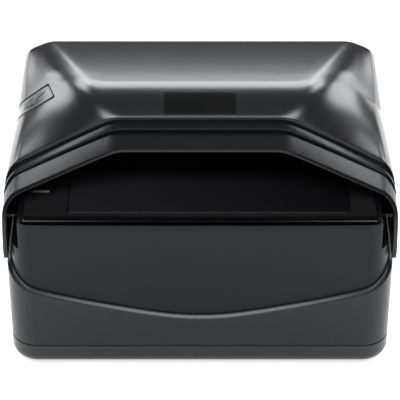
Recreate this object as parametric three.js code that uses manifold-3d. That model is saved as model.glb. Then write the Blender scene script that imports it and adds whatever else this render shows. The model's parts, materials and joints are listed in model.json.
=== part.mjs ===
// Desktop passport reader: a base with a glass document window, under a hinged light hood.
// Millimetres. X to the right, Y to the back, Z up. The floor is Z = 0, and the origin lies
// under the middle of the whole reader.

import * as THREE from 'three';
import { mergeVertices } from 'three/addons/utils/BufferGeometryUtils.js';
import Module from 'manifold-3d';

const wasm = await Module();
wasm.setup();

// Driving dimensions of the window, which has to pass a passport's page
const windowWidth = 130.5;
const windowDepth = 92;
const windowOffsetX = 4.15;

// Driving dimensions of the base, which is laid out round the window
const sideMargin = 25.35;
const frontMargin = 13;
const rearMargin = 29;
const cornerRadius = 12.5;
const wall = 2.1;
const fit = 0.3;
const footHeight = 2;
const footRadius = 6.5;
const footInset = 19;
const padDepth = 0.7;
const caseScrewOutset = 2;
const caseScrewSetback = 13;
const bossRadius = 4.6;
const bossHeight = 9;
const caseScrewLength = 14;
const caseScrewSink = 5;
const trayHeight = 12.5;
const trayFloor = 2.2;
const trayFillet = 5;
const trayGap = 0.35;
const ledgeDepth = 2.4;
const waveLow = 31.4;
const waveCorner = 46.8;
const waveCornerInset = 15.6;
const waveRise = 0.5;
const ledgeTop = 60.7;
const skirtBottom = 27.4;
const recessFloor = 71;
const recessInset = 6.4;
const housingTop = 86;
const rearDeckSetback = 8;
const rearDeckDrop = 2.5;
const columnGap = 0.9;
const seat = 0.05;

// Driving dimensions of the deck and its optics
const deckThickness = 2.5;
const deckFrontGap = 1.3;
const glassThickness = 2.5;
const glassRecess = 0.3;
const gasketWidth = 4;
const gasketThickness = 1;
const chamberWall = 1.8;
const chamberFlange = 2;
const chamberBottom = 19;
const chamberTaperX = 46.5;
const chamberTaperY = 46;
const boardThickness = 1.6;
const cameraBoardWidth = 34;
const cameraBoardDepth = 23.8;
const connectorDrop = 2.4;
const lensRadius = 8;
const lensHeight = 15;
const lightBoardWidth = 15;
const lightBoardSetback = 6;
const diffuserThickness = 1.5;
const diffuserLift = 3.4;
const ledPitch = 8;
const ledSpread = 3.4;
const ledHalf = 1.4;
const ledHeight = 1.1;
const groovePitch = 5;
const grooveHalf = 0.6;
const grooveDepth = 0.5;
const shelfWidth = 4;
const antennaMargin = 3.8;
const antennaGap = 1.4;
const statusInset = 9.8;
const statusSetback = 28.6;
const statusLength = 7.6;
const statusWidth = 1.7;
const statusFlange = 1;

// Driving dimensions of the main board and its sockets
const mainBoardTop = 16;
const boardSideGap = 2;
const mainBoardDepth = 44;
const mainBoardSetback = 0.8;
const standoffRadius = 3.2;
const usbInset = 43;
const usbWidth = 12;
const usbHeight = 10.9;
const usbDepth = 16.5;
const jackInset = 21;
const jackWidth = 9;
const jackHeight = 10.9;
const jackDepth = 13.5;
const socketShell = 0.9;
const socketMouth = 5.2;
const tongueWidth = 5.6;
const tongueHeight = 3.2;
const jackHole = 3.3;
const jackPin = 1;

// Driving dimensions of the hood
const hoodWall = 2;
const hoodBottom = 61.2;
const hoodOverhang = 1.2;
const lipSetback = 23;
const lipFlat = 53.3;
const crestFlat = 29.8;
const rearFlat = 19.8;
const lipHeight = 115.7;
const bandDepth = 7.4;
const bandRise = 2.1;
const ribDepth = 3.6;
const ribRise = 1.4;
const stepHeight = 2.4;
const stepRun = 0.3;
const crestSetback = 52.4;
const crestHeight = 131.4;
const crestSweep = 10;
const sweepInset = 47.8;
const rearEdgeInset = 44;
const rearEdgeHeight = 129.5;
const slopeEndInset = 5;
const rearSlopeEndHeight = 100;
const hoodRearInset = 0.4;
const rimLean = 13.5;
const rimLeanStart = 80;
const flare = 1.5;
const flareHeight = 9;
const kneeHeight = 12.5;
const hoodRearBottom = 87;
const plateWidth = 32.5;
const plateHeight = 10.5;
const plateThickness = 0.8;

// Driving dimensions of the hinge
const hingeInset = 6.6;
const hingeZ = 92.5;
const hingeSideInset = 32.6;
const knuckleRadius = 3.2;
const knuckleLength = 12;
const earThickness = 2;
const washerThickness = 0.6;
const pinRadius = 1.5;
const pinHead = 2.6;
const pinHeadHeight = 1;
const webDrop = 1.2;
const notchRise = 4.4;
const bracketThickness = 2;
const bracketFrontGap = 1.2;
const bracketScrewPitch = 9;
const bracketScrewSetback = 5;
const bracketScrewLength = 5;
const screwRadius = 1.4;
const screwHeadRadius = 2.6;
const screwHeadHeight = 1.6;

// Driving dimensions of the push button on the left shoulder
const buttonSideInset = 12.3;
const buttonSetback = 59.8;
const buttonDrop = 16.8;
const buttonTilt = 40;
const buttonLean = 12;
const buttonTurn = -5;
const buttonSkew = 0.3;
const buttonLength = 24.5;
const buttonWidth = 8.8;
const buttonGap = 0.55;
const buttonTravel = 0.8;
const buttonSkin = 1.8;
const buttonStemRadius = 2;
const buttonDepth = 11;
const switchHeight = 3;
const switchHalf = 2.2;
const plungerRadius = 1.5;
const plungerHeight = 0.9;
const boardPostRadius = 1.5;
const boardPostX = 8.5;
const boardPostGap = 2.2;
const switchBoardLength = 23;
const springRadius = 3.4;
const springWire = 0.25;
const springTop = 5.6;
const springTurns = 6;
const stopSetback = 29;
const stopHeight = 1.7;
const stopRadius = 1.5;

// Values worked out from the driving dimensions
const baseWidth = windowWidth + 2 * sideMargin;
const baseDepth = windowDepth + frontMargin + rearMargin;
const halfWidth = baseWidth / 2;
const halfDepth = baseDepth / 2;
const windowFrontY = frontMargin - halfDepth;
const waveCornerX = halfWidth - waveCornerInset;
const recessHalfWidth = halfWidth - recessInset;
const rearDeckY = windowFrontY + windowDepth + rearDeckSetback;
const chamberFootWidth = windowWidth - chamberTaperX;
const chamberFootDepth = windowDepth - chamberTaperY;
const lightBoardDepth = chamberFootDepth - lightBoardSetback;
const statusX = statusInset - recessHalfWidth;
const statusY = statusSetback - halfDepth;
const hoodHalfWidth = halfWidth + hoodOverhang;
const lipY = lipSetback - halfDepth;
const crestY = crestSetback - halfDepth;
const rearEdgeY = halfDepth - rearEdgeInset;
const rearSlopeEndY = halfDepth - slopeEndInset;
const hoodRearY = halfDepth - hoodRearInset;
const hingeY = halfDepth - hingeInset;
const hingeX = halfWidth - hingeSideInset;
const buttonX = buttonSideInset - hoodHalfWidth;
const buttonZ = crestHeight - buttonDrop;
const buttonY = buttonSetback - halfDepth;
const stopY = stopSetback - halfDepth;
const caseScrewX = halfWidth - footInset + caseScrewOutset;
const caseScrewY = halfDepth - footInset - caseScrewSetback;
const mainBoardWidth = 2 * (caseScrewX - bossRadius - boardSideGap);
const usbX = mainBoardWidth / 2 - usbInset;
const jackX = mainBoardWidth / 2 - jackInset;
const trayTop = footHeight + trayHeight;
const panelHalfWidth = halfWidth - ledgeDepth;
const panelHalfDepth = halfDepth - ledgeDepth;
const panelRadius = cornerRadius - ledgeDepth;
const windowBackY = windowFrontY + windowDepth;
const windowMidY = (windowFrontY + windowBackY) / 2;
const glassTop = housingTop - glassRecess;
const glassBottom = glassTop - glassThickness;
const rearDeckTop = housingTop - rearDeckDrop;
const gasketBottom = glassBottom - gasketThickness;
const deckBottom = housingTop - deckThickness;
const bracketReach = knuckleLength / 2 + washerThickness + fit + earThickness;
const pinEnd = bracketReach + seat + pinHeadHeight;
const degree = Math.PI / 180;

// Materials
const charcoal = { color: 0x232326, roughness: 0.38, metalness: 0 };
const deckBlack = { color: 0x0e0e10, roughness: 0.3, metalness: 0 };
const glassBlack = { color: 0x101114, roughness: 0.08, metalness: 0 };
const rubberBlack = { color: 0x141414, roughness: 0.85, metalness: 0 };
const steel = { color: 0xb8babd, roughness: 0.3, metalness: 1 };
const boardGreen = { color: 0x1c4a2c, roughness: 0.6, metalness: 0 };
const milky = { color: 0xd8dadc, roughness: 0.5, metalness: 0 };
const smoked = { color: 0x2c2c30, roughness: 0.35, metalness: 0 };
const innerBlack = { color: 0x0b0b0c, roughness: 0.9, metalness: 0 };

const model = new THREE.Group();

// A closed geometry becomes a solid that can be joined and cut
function solid(geometry) {
  const bare = new THREE.BufferGeometry();
  bare.setAttribute('position', geometry.getAttribute('position').clone());
  if (geometry.index) bare.setIndex(geometry.index.clone());
  const merged = mergeVertices(bare, 1e-3);
  const vertProperties = new Float32Array(merged.getAttribute('position').array);
  const triVerts = new Uint32Array(merged.index.array);
  return new wasm.Manifold(new wasm.Mesh({ numProp: 3, vertProperties, triVerts }));
}

// A solid becomes a geometry again
function geometryOf(body) {
  const mesh = body.getMesh();
  const geometry = new THREE.BufferGeometry();
  geometry.setAttribute('position', new THREE.BufferAttribute(new Float32Array(mesh.vertProperties), 3));
  geometry.setIndex(new THREE.BufferAttribute(new Uint32Array(mesh.triVerts), 1));
  geometry.computeVertexNormals();
  return geometry;
}

// A finished piece is a named mesh with its own material
function piece(name, shape, look, parent = model) {
  const geometry = shape.isBufferGeometry ? shape : geometryOf(shape);
  const mesh = new THREE.Mesh(geometry, new THREE.MeshStandardMaterial(look));
  mesh.name = name;
  parent.add(mesh);
  return mesh;
}

// A box given by its lowest and highest corners
function block(x0, x1, y0, y1, z0, z1) {
  const geometry = new THREE.BoxGeometry(x1 - x0, y1 - y0, z1 - z0);
  geometry.translate((x0 + x1) / 2, (y0 + y1) / 2, (z0 + z1) / 2);
  return solid(geometry);
}

// A round bar along X, Y or Z
function bar(axis, radius, length, x, y, z, sides = 24) {
  const geometry = new THREE.CylinderGeometry(radius, radius, length, sides);
  if (axis === 'x') geometry.rotateZ(Math.PI / 2);
  if (axis === 'z') geometry.rotateX(Math.PI / 2);
  geometry.translate(x, y, z);
  return solid(geometry);
}

// A loop of points round a rectangle with round corners, the right half and then its mirror image
function roundedLoop(half, front, back, radius, z, steps = 8) {
  const right = [];
  for (let i = 0; i <= steps; i += 1) {
    const angle = (i / steps) * Math.PI / 2;
    const x = half - radius + radius * Math.sin(angle);
    right.push(new THREE.Vector3(x, front + radius - radius * Math.cos(angle), z));
  }
  for (let i = 0; i <= steps; i += 1) {
    const angle = (i / steps) * Math.PI / 2;
    const x = half - radius + radius * Math.cos(angle);
    right.push(new THREE.Vector3(x, back - radius + radius * Math.sin(angle), z));
  }
  return right.concat(right.slice().reverse().map((p) => new THREE.Vector3(-p.x, p.y, p.z)));
}

// A solid through a row of loops that are mirror images about X = 0, closed at both ends by
// strips that join each point to its mirror image
function loft(loops) {
  const count = loops[0].length;
  const positions = loops.flat().flatMap((p) => [p.x, p.y, p.z]);
  const faces = [];
  for (let j = 0; j + 1 < loops.length; j += 1) {
    for (let i = 0; i < count; i += 1) {
      const next = (i + 1) % count;
      const a = j * count + i;
      const b = j * count + next;
      faces.push(a, b, b + count, a, b + count, a + count);
    }
  }
  const last = (loops.length - 1) * count;
  for (let i = 0; i + 1 < count / 2; i += 1) {
    const mirror = count - 1 - i;
    faces.push(i, mirror, i + 1, i + 1, mirror, mirror - 1);
    faces.push(last + i, last + i + 1, last + mirror, last + i + 1, last + mirror - 1, last + mirror);
  }
  const geometry = new THREE.BufferGeometry();
  geometry.setAttribute('position', new THREE.Float32BufferAttribute(positions, 3));
  geometry.setIndex(faces);
  const body = solid(geometry);
  if (body.volume() > 0) return body;
  for (let k = 0; k < faces.length; k += 3) [faces[k], faces[k + 1]] = [faces[k + 1], faces[k]];
  geometry.setIndex(faces);
  return solid(geometry);
}

// An upright prism on the plan of a rectangle with round corners
function slab(half, front, back, radius, z0, z1) {
  return loft([roundedLoop(half, front, back, radius, z0), roundedLoop(half, front, back, radius, z1)]);
}

// A prism on an off-centre rectangle with sharp corners is a block, and a frame is one less another
function frame(x0, x1, y0, y1, z0, z1, margin) {
  const hole = block(x0 + margin, x1 - margin, y0 + margin, y1 - margin, z0 - 1, z1 + 1);
  return block(x0, x1, y0, y1, z0, z1).subtract(hole);
}

// Height of the step between the lower and the upper housing: a shallow wave on the front,
// which sweeps up round the corners to the level that the hood closes on
function waveHeight(x, y) {
  const across = Math.min(Math.abs(x) / waveCornerX, 1.3);
  const smile = across * across * (1.35 - 0.35 * across);
  const front = waveLow + (waveCorner - waveLow) * smile;
  return Math.min(ledgeTop, front + waveRise * Math.max(0, y + halfDepth));
}

// A solid that fills everything above the wave
function aboveWave() {
  const columns = 48;
  const rows = [-halfDepth - 5, -halfDepth, -halfDepth + 3, -halfDepth + 6, -halfDepth + 9,
    -halfDepth + 12, -halfDepth + 16, -halfDepth + 20, -halfDepth + 30, halfDepth + 5];
  const reach = halfWidth + 5;
  const loops = rows.map((y) => {
    const lower = [];
    for (let i = 0; i <= columns; i += 1) {
      const x = reach - (2 * reach * i) / columns;
      lower.push(new THREE.Vector3(x, y, waveHeight(x, y)));
    }
    return lower;
  });
  const positions = [];
  const faces = [];
  const across = columns + 1;
  for (const row of loops) for (const p of row) positions.push(p.x, p.y, p.z);
  const upper = positions.length / 3;
  for (const row of loops) for (const p of row) positions.push(p.x, p.y, 2 * crestHeight);
  for (let j = 0; j + 1 < rows.length; j += 1) {
    for (let i = 0; i < columns; i += 1) {
      const a = j * across + i;
      const b = a + 1;
      const c = b + across;
      const d = a + across;
      faces.push(a, c, b, a, d, c);
      faces.push(upper + a, upper + b, upper + c, upper + a, upper + c, upper + d);
    }
  }
  const edge = [];
  for (let i = 0; i < columns; i += 1) edge.push([i, i + 1]);
  for (let j = 0; j + 1 < rows.length; j += 1) edge.push([j * across + columns, (j + 1) * across + columns]);
  for (let i = columns; i > 0; i -= 1) {
    edge.push([(rows.length - 1) * across + i, (rows.length - 1) * across + i - 1]);
  }
  for (let j = rows.length - 1; j > 0; j -= 1) edge.push([j * across, (j - 1) * across]);
  for (const [a, b] of edge) faces.push(a, b, upper + b, a, upper + b, upper + a);
  const geometry = new THREE.BufferGeometry();
  geometry.setAttribute('position', new THREE.Float32BufferAttribute(positions, 3));
  geometry.setIndex(faces);
  const body = solid(geometry);
  if (body.volume() > 0) return body;
  for (let k = 0; k < faces.length; k += 3) [faces[k], faces[k + 1]] = [faces[k + 1], faces[k]];
  geometry.setIndex(faces);
  return solid(geometry);
}

const screwSpots = [[-1, -1], [1, -1], [-1, 1], [1, 1]];

// Bottom tray: a shallow pan with a rounded lower edge, bosses and standoffs
function bottomTray() {
  const loops = [];
  const steps = 5;
  for (let i = 0; i <= steps; i += 1) {
    const angle = (i / steps) * Math.PI / 2;
    const inset = trayFillet * (1 - Math.sin(angle));
    const z = footHeight + trayFillet * (1 - Math.cos(angle));
    loops.push(roundedLoop(halfWidth - inset, -halfDepth + inset, halfDepth - inset,
      cornerRadius - inset, z));
  }
  loops.push(roundedLoop(halfWidth, -halfDepth, halfDepth, cornerRadius, trayTop));
  let tray = loft(loops);
  const inner = halfWidth - wall - trayFillet / 2;
  const innerDepth = halfDepth - wall - trayFillet / 2;
  const low = footHeight + trayFloor;
  const pan = loft([
    roundedLoop(inner, -innerDepth, innerDepth, cornerRadius - trayFillet, low),
    roundedLoop(halfWidth - wall, -halfDepth + wall, halfDepth - wall, cornerRadius - wall, low + trayFillet),
    roundedLoop(halfWidth - wall, -halfDepth + wall, halfDepth - wall, cornerRadius - wall, trayTop + 1),
  ]);
  tray = tray.subtract(pan);
  for (const [sx, sy] of screwSpots) {
    const x = sx * caseScrewX;
    const y = sy * caseScrewY;
    tray = tray.add(bar('z', bossRadius, trayTop - footHeight - fit, x, y, (trayTop + footHeight - fit) / 2));
    tray = tray.subtract(bar('z', screwHeadRadius + fit, 2 * caseScrewSink, x, y, footHeight));
    tray = tray.subtract(bar('z', screwRadius + fit, 40, x, y, footHeight));
  }
  for (const [sx, sy] of screwSpots) {
    const y = boardMidY + sy * (mainBoardDepth / 2 - 2 * standoffRadius);
    const x = sx * (mainBoardWidth / 2 - 2 * standoffRadius);
    const top = mainBoardTop - boardThickness - fit;
    tray = tray.add(bar('z', standoffRadius, top - low + 1, x, y, (top + low - 1) / 2, 16));
  }
  for (const [sx, sy] of screwSpots) {
    const x = windowOffsetX + sx * chamberPostX;
    const y = windowMidY + sy * chamberPostY;
    const top = chamberBottom - fit;
    tray = tray.add(bar('z', standoffRadius, top - low + 1, x, y, (top + low - 1) / 2, 16));
  }
  for (const [sx, sy] of screwSpots) {
    const pad = bar('z', footRadius + fit, 2 * padDepth, sx * (halfWidth - footInset),
      sy * (halfDepth - footInset), footHeight);
    tray = tray.subtract(pad);
  }
  return tray;
}

const boardMidY = halfDepth - ledgeDepth - wall - mainBoardSetback - mainBoardDepth / 2;
const chamberPostX = 27;
const chamberPostY = chamberFootDepth / 2 - 4;

// Lower housing: an open ring whose top edge is the wave, with a sloping ledge
function lowerHousing() {
  const z0 = trayTop + trayGap;
  const outer = slab(halfWidth, -halfDepth, halfDepth, cornerRadius, z0, ledgeTop + 1);
  const inset = ledgeDepth - fit;
  const inner = slab(halfWidth - inset, -halfDepth + inset, halfDepth - inset, cornerRadius - inset,
    z0 - 1, 90);
  let ring = outer.subtract(inner).subtract(aboveWave());
  for (const [sx, sy] of screwSpots) {
    const x = sx * caseScrewX;
    const y = sy * caseScrewY;
    const boss = bar('z', bossRadius, bossHeight, x, y, z0 + bossHeight / 2);
    const far = sx * (halfWidth - wall / 2);
    const half = screwRadius;
    const arm = block(Math.min(x, far), Math.max(x, far), y - half, y + half, z0, z0 + bossHeight);
    ring = ring.add(boss.add(arm)).subtract(bar('z', screwRadius, 30, x, y, z0));
  }
  for (const [x, width, height] of [[usbX, usbWidth, usbHeight], [jackX, jackWidth, jackHeight]]) {
    const low = mainBoardTop - fit;
    ring = ring.subtract(block(x - width / 2 - fit, x + width / 2 + fit, halfDepth - 8, halfDepth + 2,
      low, low + height + 2 * fit));
  }
  return ring;
}

// Upper housing: the front panel, side recesses for the hood, and the rear deck, in one shell
function upperHousing() {
  const outer = slab(panelHalfWidth, -panelHalfDepth, panelHalfDepth, panelRadius, skirtBottom, housingTop);
  const recessEnd = hingeY + columnGap;
  let shell = outer;
  for (const side of [-1, 1]) {
    const near = side * recessHalfWidth;
    const far = side * (halfWidth + 5);
    shell = shell.subtract(block(Math.min(near, far), Math.max(near, far), -halfDepth - 5, recessEnd,
      recessFloor, housingTop + 1));
  }
  const t = wall;
  const lower = slab(panelHalfWidth - t, -panelHalfDepth + t, panelHalfDepth - t, panelRadius - t,
    skirtBottom - 1, recessFloor - t);
  const upper = block(-recessHalfWidth + t, recessHalfWidth - t, -panelHalfDepth + t, rearDeckY - t,
    recessFloor - t - 1, housingTop + 1);
  const rear = block(-recessHalfWidth + t, recessHalfWidth - t, rearDeckY - t - 1, panelHalfDepth - t,
    recessFloor - t - 1, rearDeckTop - t);
  shell = shell.subtract(lower).subtract(upper).subtract(rear);
  shell = shell.subtract(block(-halfWidth - 5, halfWidth + 5, rearDeckY, halfDepth + 5, rearDeckTop,
    housingTop + 1));
  for (const side of [-1, 1]) {
    const x = side * (recessHalfWidth - t);
    const shelf = block(Math.min(x, x - side * shelfWidth), Math.max(x, x - side * shelfWidth),
      -panelHalfDepth + t, rearDeckY, deckBottom - fit - t, deckBottom - fit);
    shell = shell.add(shelf);
  }
  const l = statusLength / 2 + statusFlange + fit;
  const w = statusWidth / 2 + statusFlange + fit;
  shell = shell.subtract(block(statusX - l, statusX + l, statusY - w, statusY + w, deckBottom - 8,
    deckBottom));
  for (const [x, y] of bracketScrewSpots()) shell = shell.subtract(bar('z', screwRadius, 12, x, y,
    rearDeckTop, 16));
  for (const [x, width, height] of [[usbX, usbWidth, usbHeight], [jackX, jackWidth, jackHeight]]) {
    const low = mainBoardTop - fit;
    shell = shell.subtract(block(x - width / 2 - fit, x + width / 2 + fit, halfDepth - 12, halfDepth + 2,
      low, low + height + 2 * fit));
  }
  return shell;
}

// Places of the four screws that hold the two hinge brackets
function bracketScrewSpots() {
  const spots = [];
  for (const side of [-1, 1]) {
    for (const offset of [-bracketScrewPitch / 2, bracketScrewPitch / 2]) {
      spots.push([side * hingeX + offset, rearDeckY + bracketScrewSetback]);
    }
  }
  return spots;
}

// Deck plate with the window, a chamfer round the window and the slot of the status lens
function deckPlate() {
  const half = recessHalfWidth - wall - fit;
  const front = -panelHalfDepth + wall + deckFrontGap;
  let plate = block(-half, half, front, rearDeckY - wall - fit, deckBottom, housingTop);
  plate = plate.subtract(windowBlock(fit, deckBottom - 1, housingTop + 1));
  const chamfer = 0.7;
  const top = windowLoop(fit + chamfer, housingTop + 0.01);
  const low = windowLoop(fit, housingTop - chamfer);
  plate = plate.subtract(hull(low, top));
  const slot = block(statusX - statusLength / 2 - 0.15, statusX + statusLength / 2 + 0.15,
    statusY - statusWidth / 2 - 0.15, statusY + statusWidth / 2 + 0.15, deckBottom - 1, housingTop + 1);
  return plate.subtract(slot);
}

// The window's rectangle, grown by a margin
function windowBlock(margin, z0, z1) {
  const x0 = windowOffsetX - windowWidth / 2 - margin;
  const x1 = windowOffsetX + windowWidth / 2 + margin;
  return block(x0, x1, windowFrontY - margin, windowBackY + margin, z0, z1);
}

function windowLoop(margin, z) {
  const x0 = windowOffsetX - windowWidth / 2 - margin;
  const x1 = windowOffsetX + windowWidth / 2 + margin;
  const y0 = windowFrontY - margin;
  const y1 = windowBackY + margin;
  return [[x1, y0, z], [x1, y1, z], [x0, y1, z], [x0, y0, z]].map((p) => new THREE.Vector3(...p));
}

// A solid between two rectangles, one above the other
function hull(low, high) {
  return loft([low, high]);
}

function gasket() {
  const x0 = windowOffsetX - windowWidth / 2;
  return frame(x0, x0 + windowWidth, windowFrontY, windowBackY, gasketBottom, glassBottom, gasketWidth);
}

// Optical chamber: a tapered box, open at the top under the glass, on four posts of the tray
function opticalChamber() {
  const top = gasketBottom;
  const flangeLow = top - chamberFlange;
  const foot = (margin, z) => {
    const x0 = windowOffsetX - chamberFootWidth / 2 - margin;
    const x1 = windowOffsetX + chamberFootWidth / 2 + margin;
    const y0 = windowMidY - chamberFootDepth / 2 - margin;
    const y1 = windowMidY + chamberFootDepth / 2 + margin;
    return [[x1, y0, z], [x1, y1, z], [x0, y1, z], [x0, y0, z]].map((p) => new THREE.Vector3(...p));
  };
  const inner = gasketWidth;
  const rise = chamberBottom + 14;
  const outside = hull(foot(0, chamberBottom), foot(0, rise)).add(hull(foot(0, rise),
    windowLoop(-inner + chamberWall, flangeLow)));
  const inside = hull(foot(-chamberWall, chamberBottom + chamberWall), foot(-chamberWall, rise))
    .add(hull(foot(-chamberWall, rise), windowLoop(-inner, top + 1)));
  const flange = windowBlock(1, flangeLow, top);
  let box = outside.add(flange).subtract(inside);
  box = box.subtract(bar('z', lensRadius + fit, 12, windowOffsetX, windowMidY, chamberBottom));
  for (const [sx, sy] of screwSpots) {
    box = box.subtract(bar('z', screwRadius, 12, windowOffsetX + sx * chamberPostX,
      windowMidY + sy * chamberPostY, chamberBottom, 12));
  }
  return box;
}

// Camera lens: a stepped barrel with a domed front element
function cameraLens() {
  const z0 = chamberBottom - boardThickness - 1 + boardThickness + fit;
  const r = lensRadius;
  const h = lensHeight;
  const profile = [[0, 0], [r, 0], [r, h * 0.45], [r * 0.8, h * 0.5], [r * 0.8, h * 0.8], [r * 0.9, h * 0.82],
    [r * 0.9, h], [r * 0.6, h], [r * 0.52, h * 0.94], [r * 0.3, h * 0.985], [0, h]];
  const geometry = new THREE.LatheGeometry(profile.map(([x, y]) => new THREE.Vector2(x, y)), 32);
  geometry.rotateX(Math.PI / 2);
  geometry.translate(windowOffsetX, windowMidY, z0);
  return solid(geometry);
}

function cameraBoard() {
  const top = chamberBottom - 1;
  const half = cameraBoardWidth / 2;
  const x0 = windowOffsetX - half;
  const deep = cameraBoardDepth / 2;
  const low = top - boardThickness;
  const board = block(x0, x0 + cameraBoardWidth, windowMidY - deep, windowMidY + deep, low, top);
  const side = x0 + half / 2;
  return board.add(block(x0 + ledHeight, side, windowMidY - deep / 3, windowMidY + deep / 3,
    low - connectorDrop, low + seat));
}

// One of the two light boards, with a row of light-emitting diodes in its own moulding
function lightBoard(side) {
  const x = windowOffsetX + side * (chamberFootWidth / 2 - chamberWall - fit - lightBoardWidth / 2);
  const z0 = chamberBottom + chamberWall + fit;
  const half = lightBoardDepth / 2;
  let board = block(x - lightBoardWidth / 2, x + lightBoardWidth / 2, windowMidY - half,
    windowMidY + half, z0, z0 + boardThickness);
  for (let k = -2; k <= 2; k += 1) {
    const y = windowMidY + k * ledPitch;
    const low = z0 + boardThickness - seat;
    for (const dx of [-ledSpread, ledSpread]) {
      board = board.add(block(x + dx - ledHalf, x + dx + ledHalf, y - ledHalf, y + ledHalf, low,
        low + ledHeight));
    }
  }
  for (const end of [-1, 1]) {
    const y = windowMidY + end * (half - grooveHalf);
    const low = z0 + boardThickness - seat;
    board = board.add(block(x - ledSpread, x + ledSpread, y - grooveHalf, y + grooveHalf, low,
      low + diffuserLift - fit));
  }
  return { board, x, top: z0 + boardThickness + diffuserLift };
}

function diffuser(x, z) {
  const half = lightBoardDepth / 2;
  const w = lightBoardWidth / 2;
  const plate = block(x - w, x + w, windowMidY - half, windowMidY + half, z, z + diffuserThickness);
  let ribbed = plate;
  for (let k = -3; k <= 3; k += 1) {
    const y = windowMidY + k * groovePitch;
    const low = z + diffuserThickness - grooveDepth;
    ribbed = ribbed.subtract(block(x - w - 1, x + w + 1, y - grooveHalf, y + grooveHalf, low, low + 1));
  }
  return ribbed;
}

// Antenna board: a flat ring of board round the window, under the deck plate
function antennaBoard() {
  const z1 = deckBottom - fit;
  const m = antennaMargin;
  const outer = windowBlock(m, z1 - boardThickness, z1);
  return outer.subtract(windowBlock(antennaGap, z1 - 2 * boardThickness, z1 + 1));
}

// Main board with its larger parts, at the back under the sockets
function mainBoard() {
  const z1 = mainBoardTop;
  const z0 = z1 - boardThickness;
  const y0 = boardMidY - mainBoardDepth / 2;
  const half = mainBoardWidth / 2;
  let board = block(-half, half, y0, y0 + mainBoardDepth, z0, z1);
  const part = (u, v, width, depth, height) => {
    const x = u * half;
    const y = y0 + v * mainBoardDepth;
    return block(x, x + width * half, y, y + depth * mainBoardDepth, z1 - seat, z1 + height);
  };
  board = board.add(part(-0.45, 0.27, 0.27, 0.41, boardThickness));
  board = board.add(part(-0.06, 0.18, 0.18, 0.2, ledHeight));
  board = board.add(part(-0.78, 0.18, 0.18, 0.23, ledHeight));
  board = board.add(part(-0.9, 0.59, 0.21, 0.11, switchHeight));
  for (const u of [0.45, 0.6, 0.75]) {
    const canister = bar('z', standoffRadius, bossHeight, u * half, y0 + 0.27 * mainBoardDepth,
      z1 + bossHeight / 2 - seat, 16);
    board = board.add(canister);
  }
  return board;
}

// A rear socket: a shell with an open mouth at the back, and a tongue in it
function socket(x, width, height, depth) {
  const back = halfDepth - 0.4;
  const z0 = mainBoardTop + fit;
  let body = block(x - width / 2, x + width / 2, back - depth, back, z0, z0 + height - fit);
  const s = socketShell;
  body = body.subtract(block(x - width / 2 + s, x + width / 2 - s, back - depth + 5, back + 1, z0 + s,
    z0 + height - fit - s));
  const mid = z0 + (height - fit) / 2;
  return body.add(block(x - tongueWidth / 2, x + tongueWidth / 2, back - depth + 4, back - socketMouth,
    mid - tongueHeight / 2, mid + tongueHeight / 2));
}

function powerJack() {
  const back = halfDepth - 0.4;
  const z0 = mainBoardTop + fit;
  const height = jackHeight - fit;
  const mid = z0 + height / 2;
  let body = block(jackX - jackWidth / 2, jackX + jackWidth / 2, back - jackDepth, back, z0, z0 + height);
  body = body.subtract(bar('y', jackHole, jackDepth - 3, jackX, back - (jackDepth - 3) / 2 + 0.5, mid));
  const pinLength = jackDepth - 2 - socketMouth;
  return body.add(bar('y', jackPin, pinLength, jackX, back - socketMouth - pinLength / 2, mid, 12));
}

// The hood's cross sections. Each station has the height and half width of the flat top, the
// corner where the slope meets the side wall, the radii of both bends and the wall's foot.
function station(y, top, flat, corner, cornerZ, bend, round, foot, lean, sweep, flareOut) {
  return { y, top, flat, corner, cornerZ, bend, round, foot, lean, sweep, flareOut };
}

function mixStations(a, b, along, rise) {
  const mixed = {};
  for (const key of Object.keys(a)) {
    const weight = key === 'top' || key === 'cornerZ' ? rise : along;
    mixed[key] = a[key] + (b[key] - a[key]) * weight;
  }
  return mixed;
}

const slopeDrop = (a, b, angle) => (b - a) * Math.tan(angle * degree);

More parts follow.
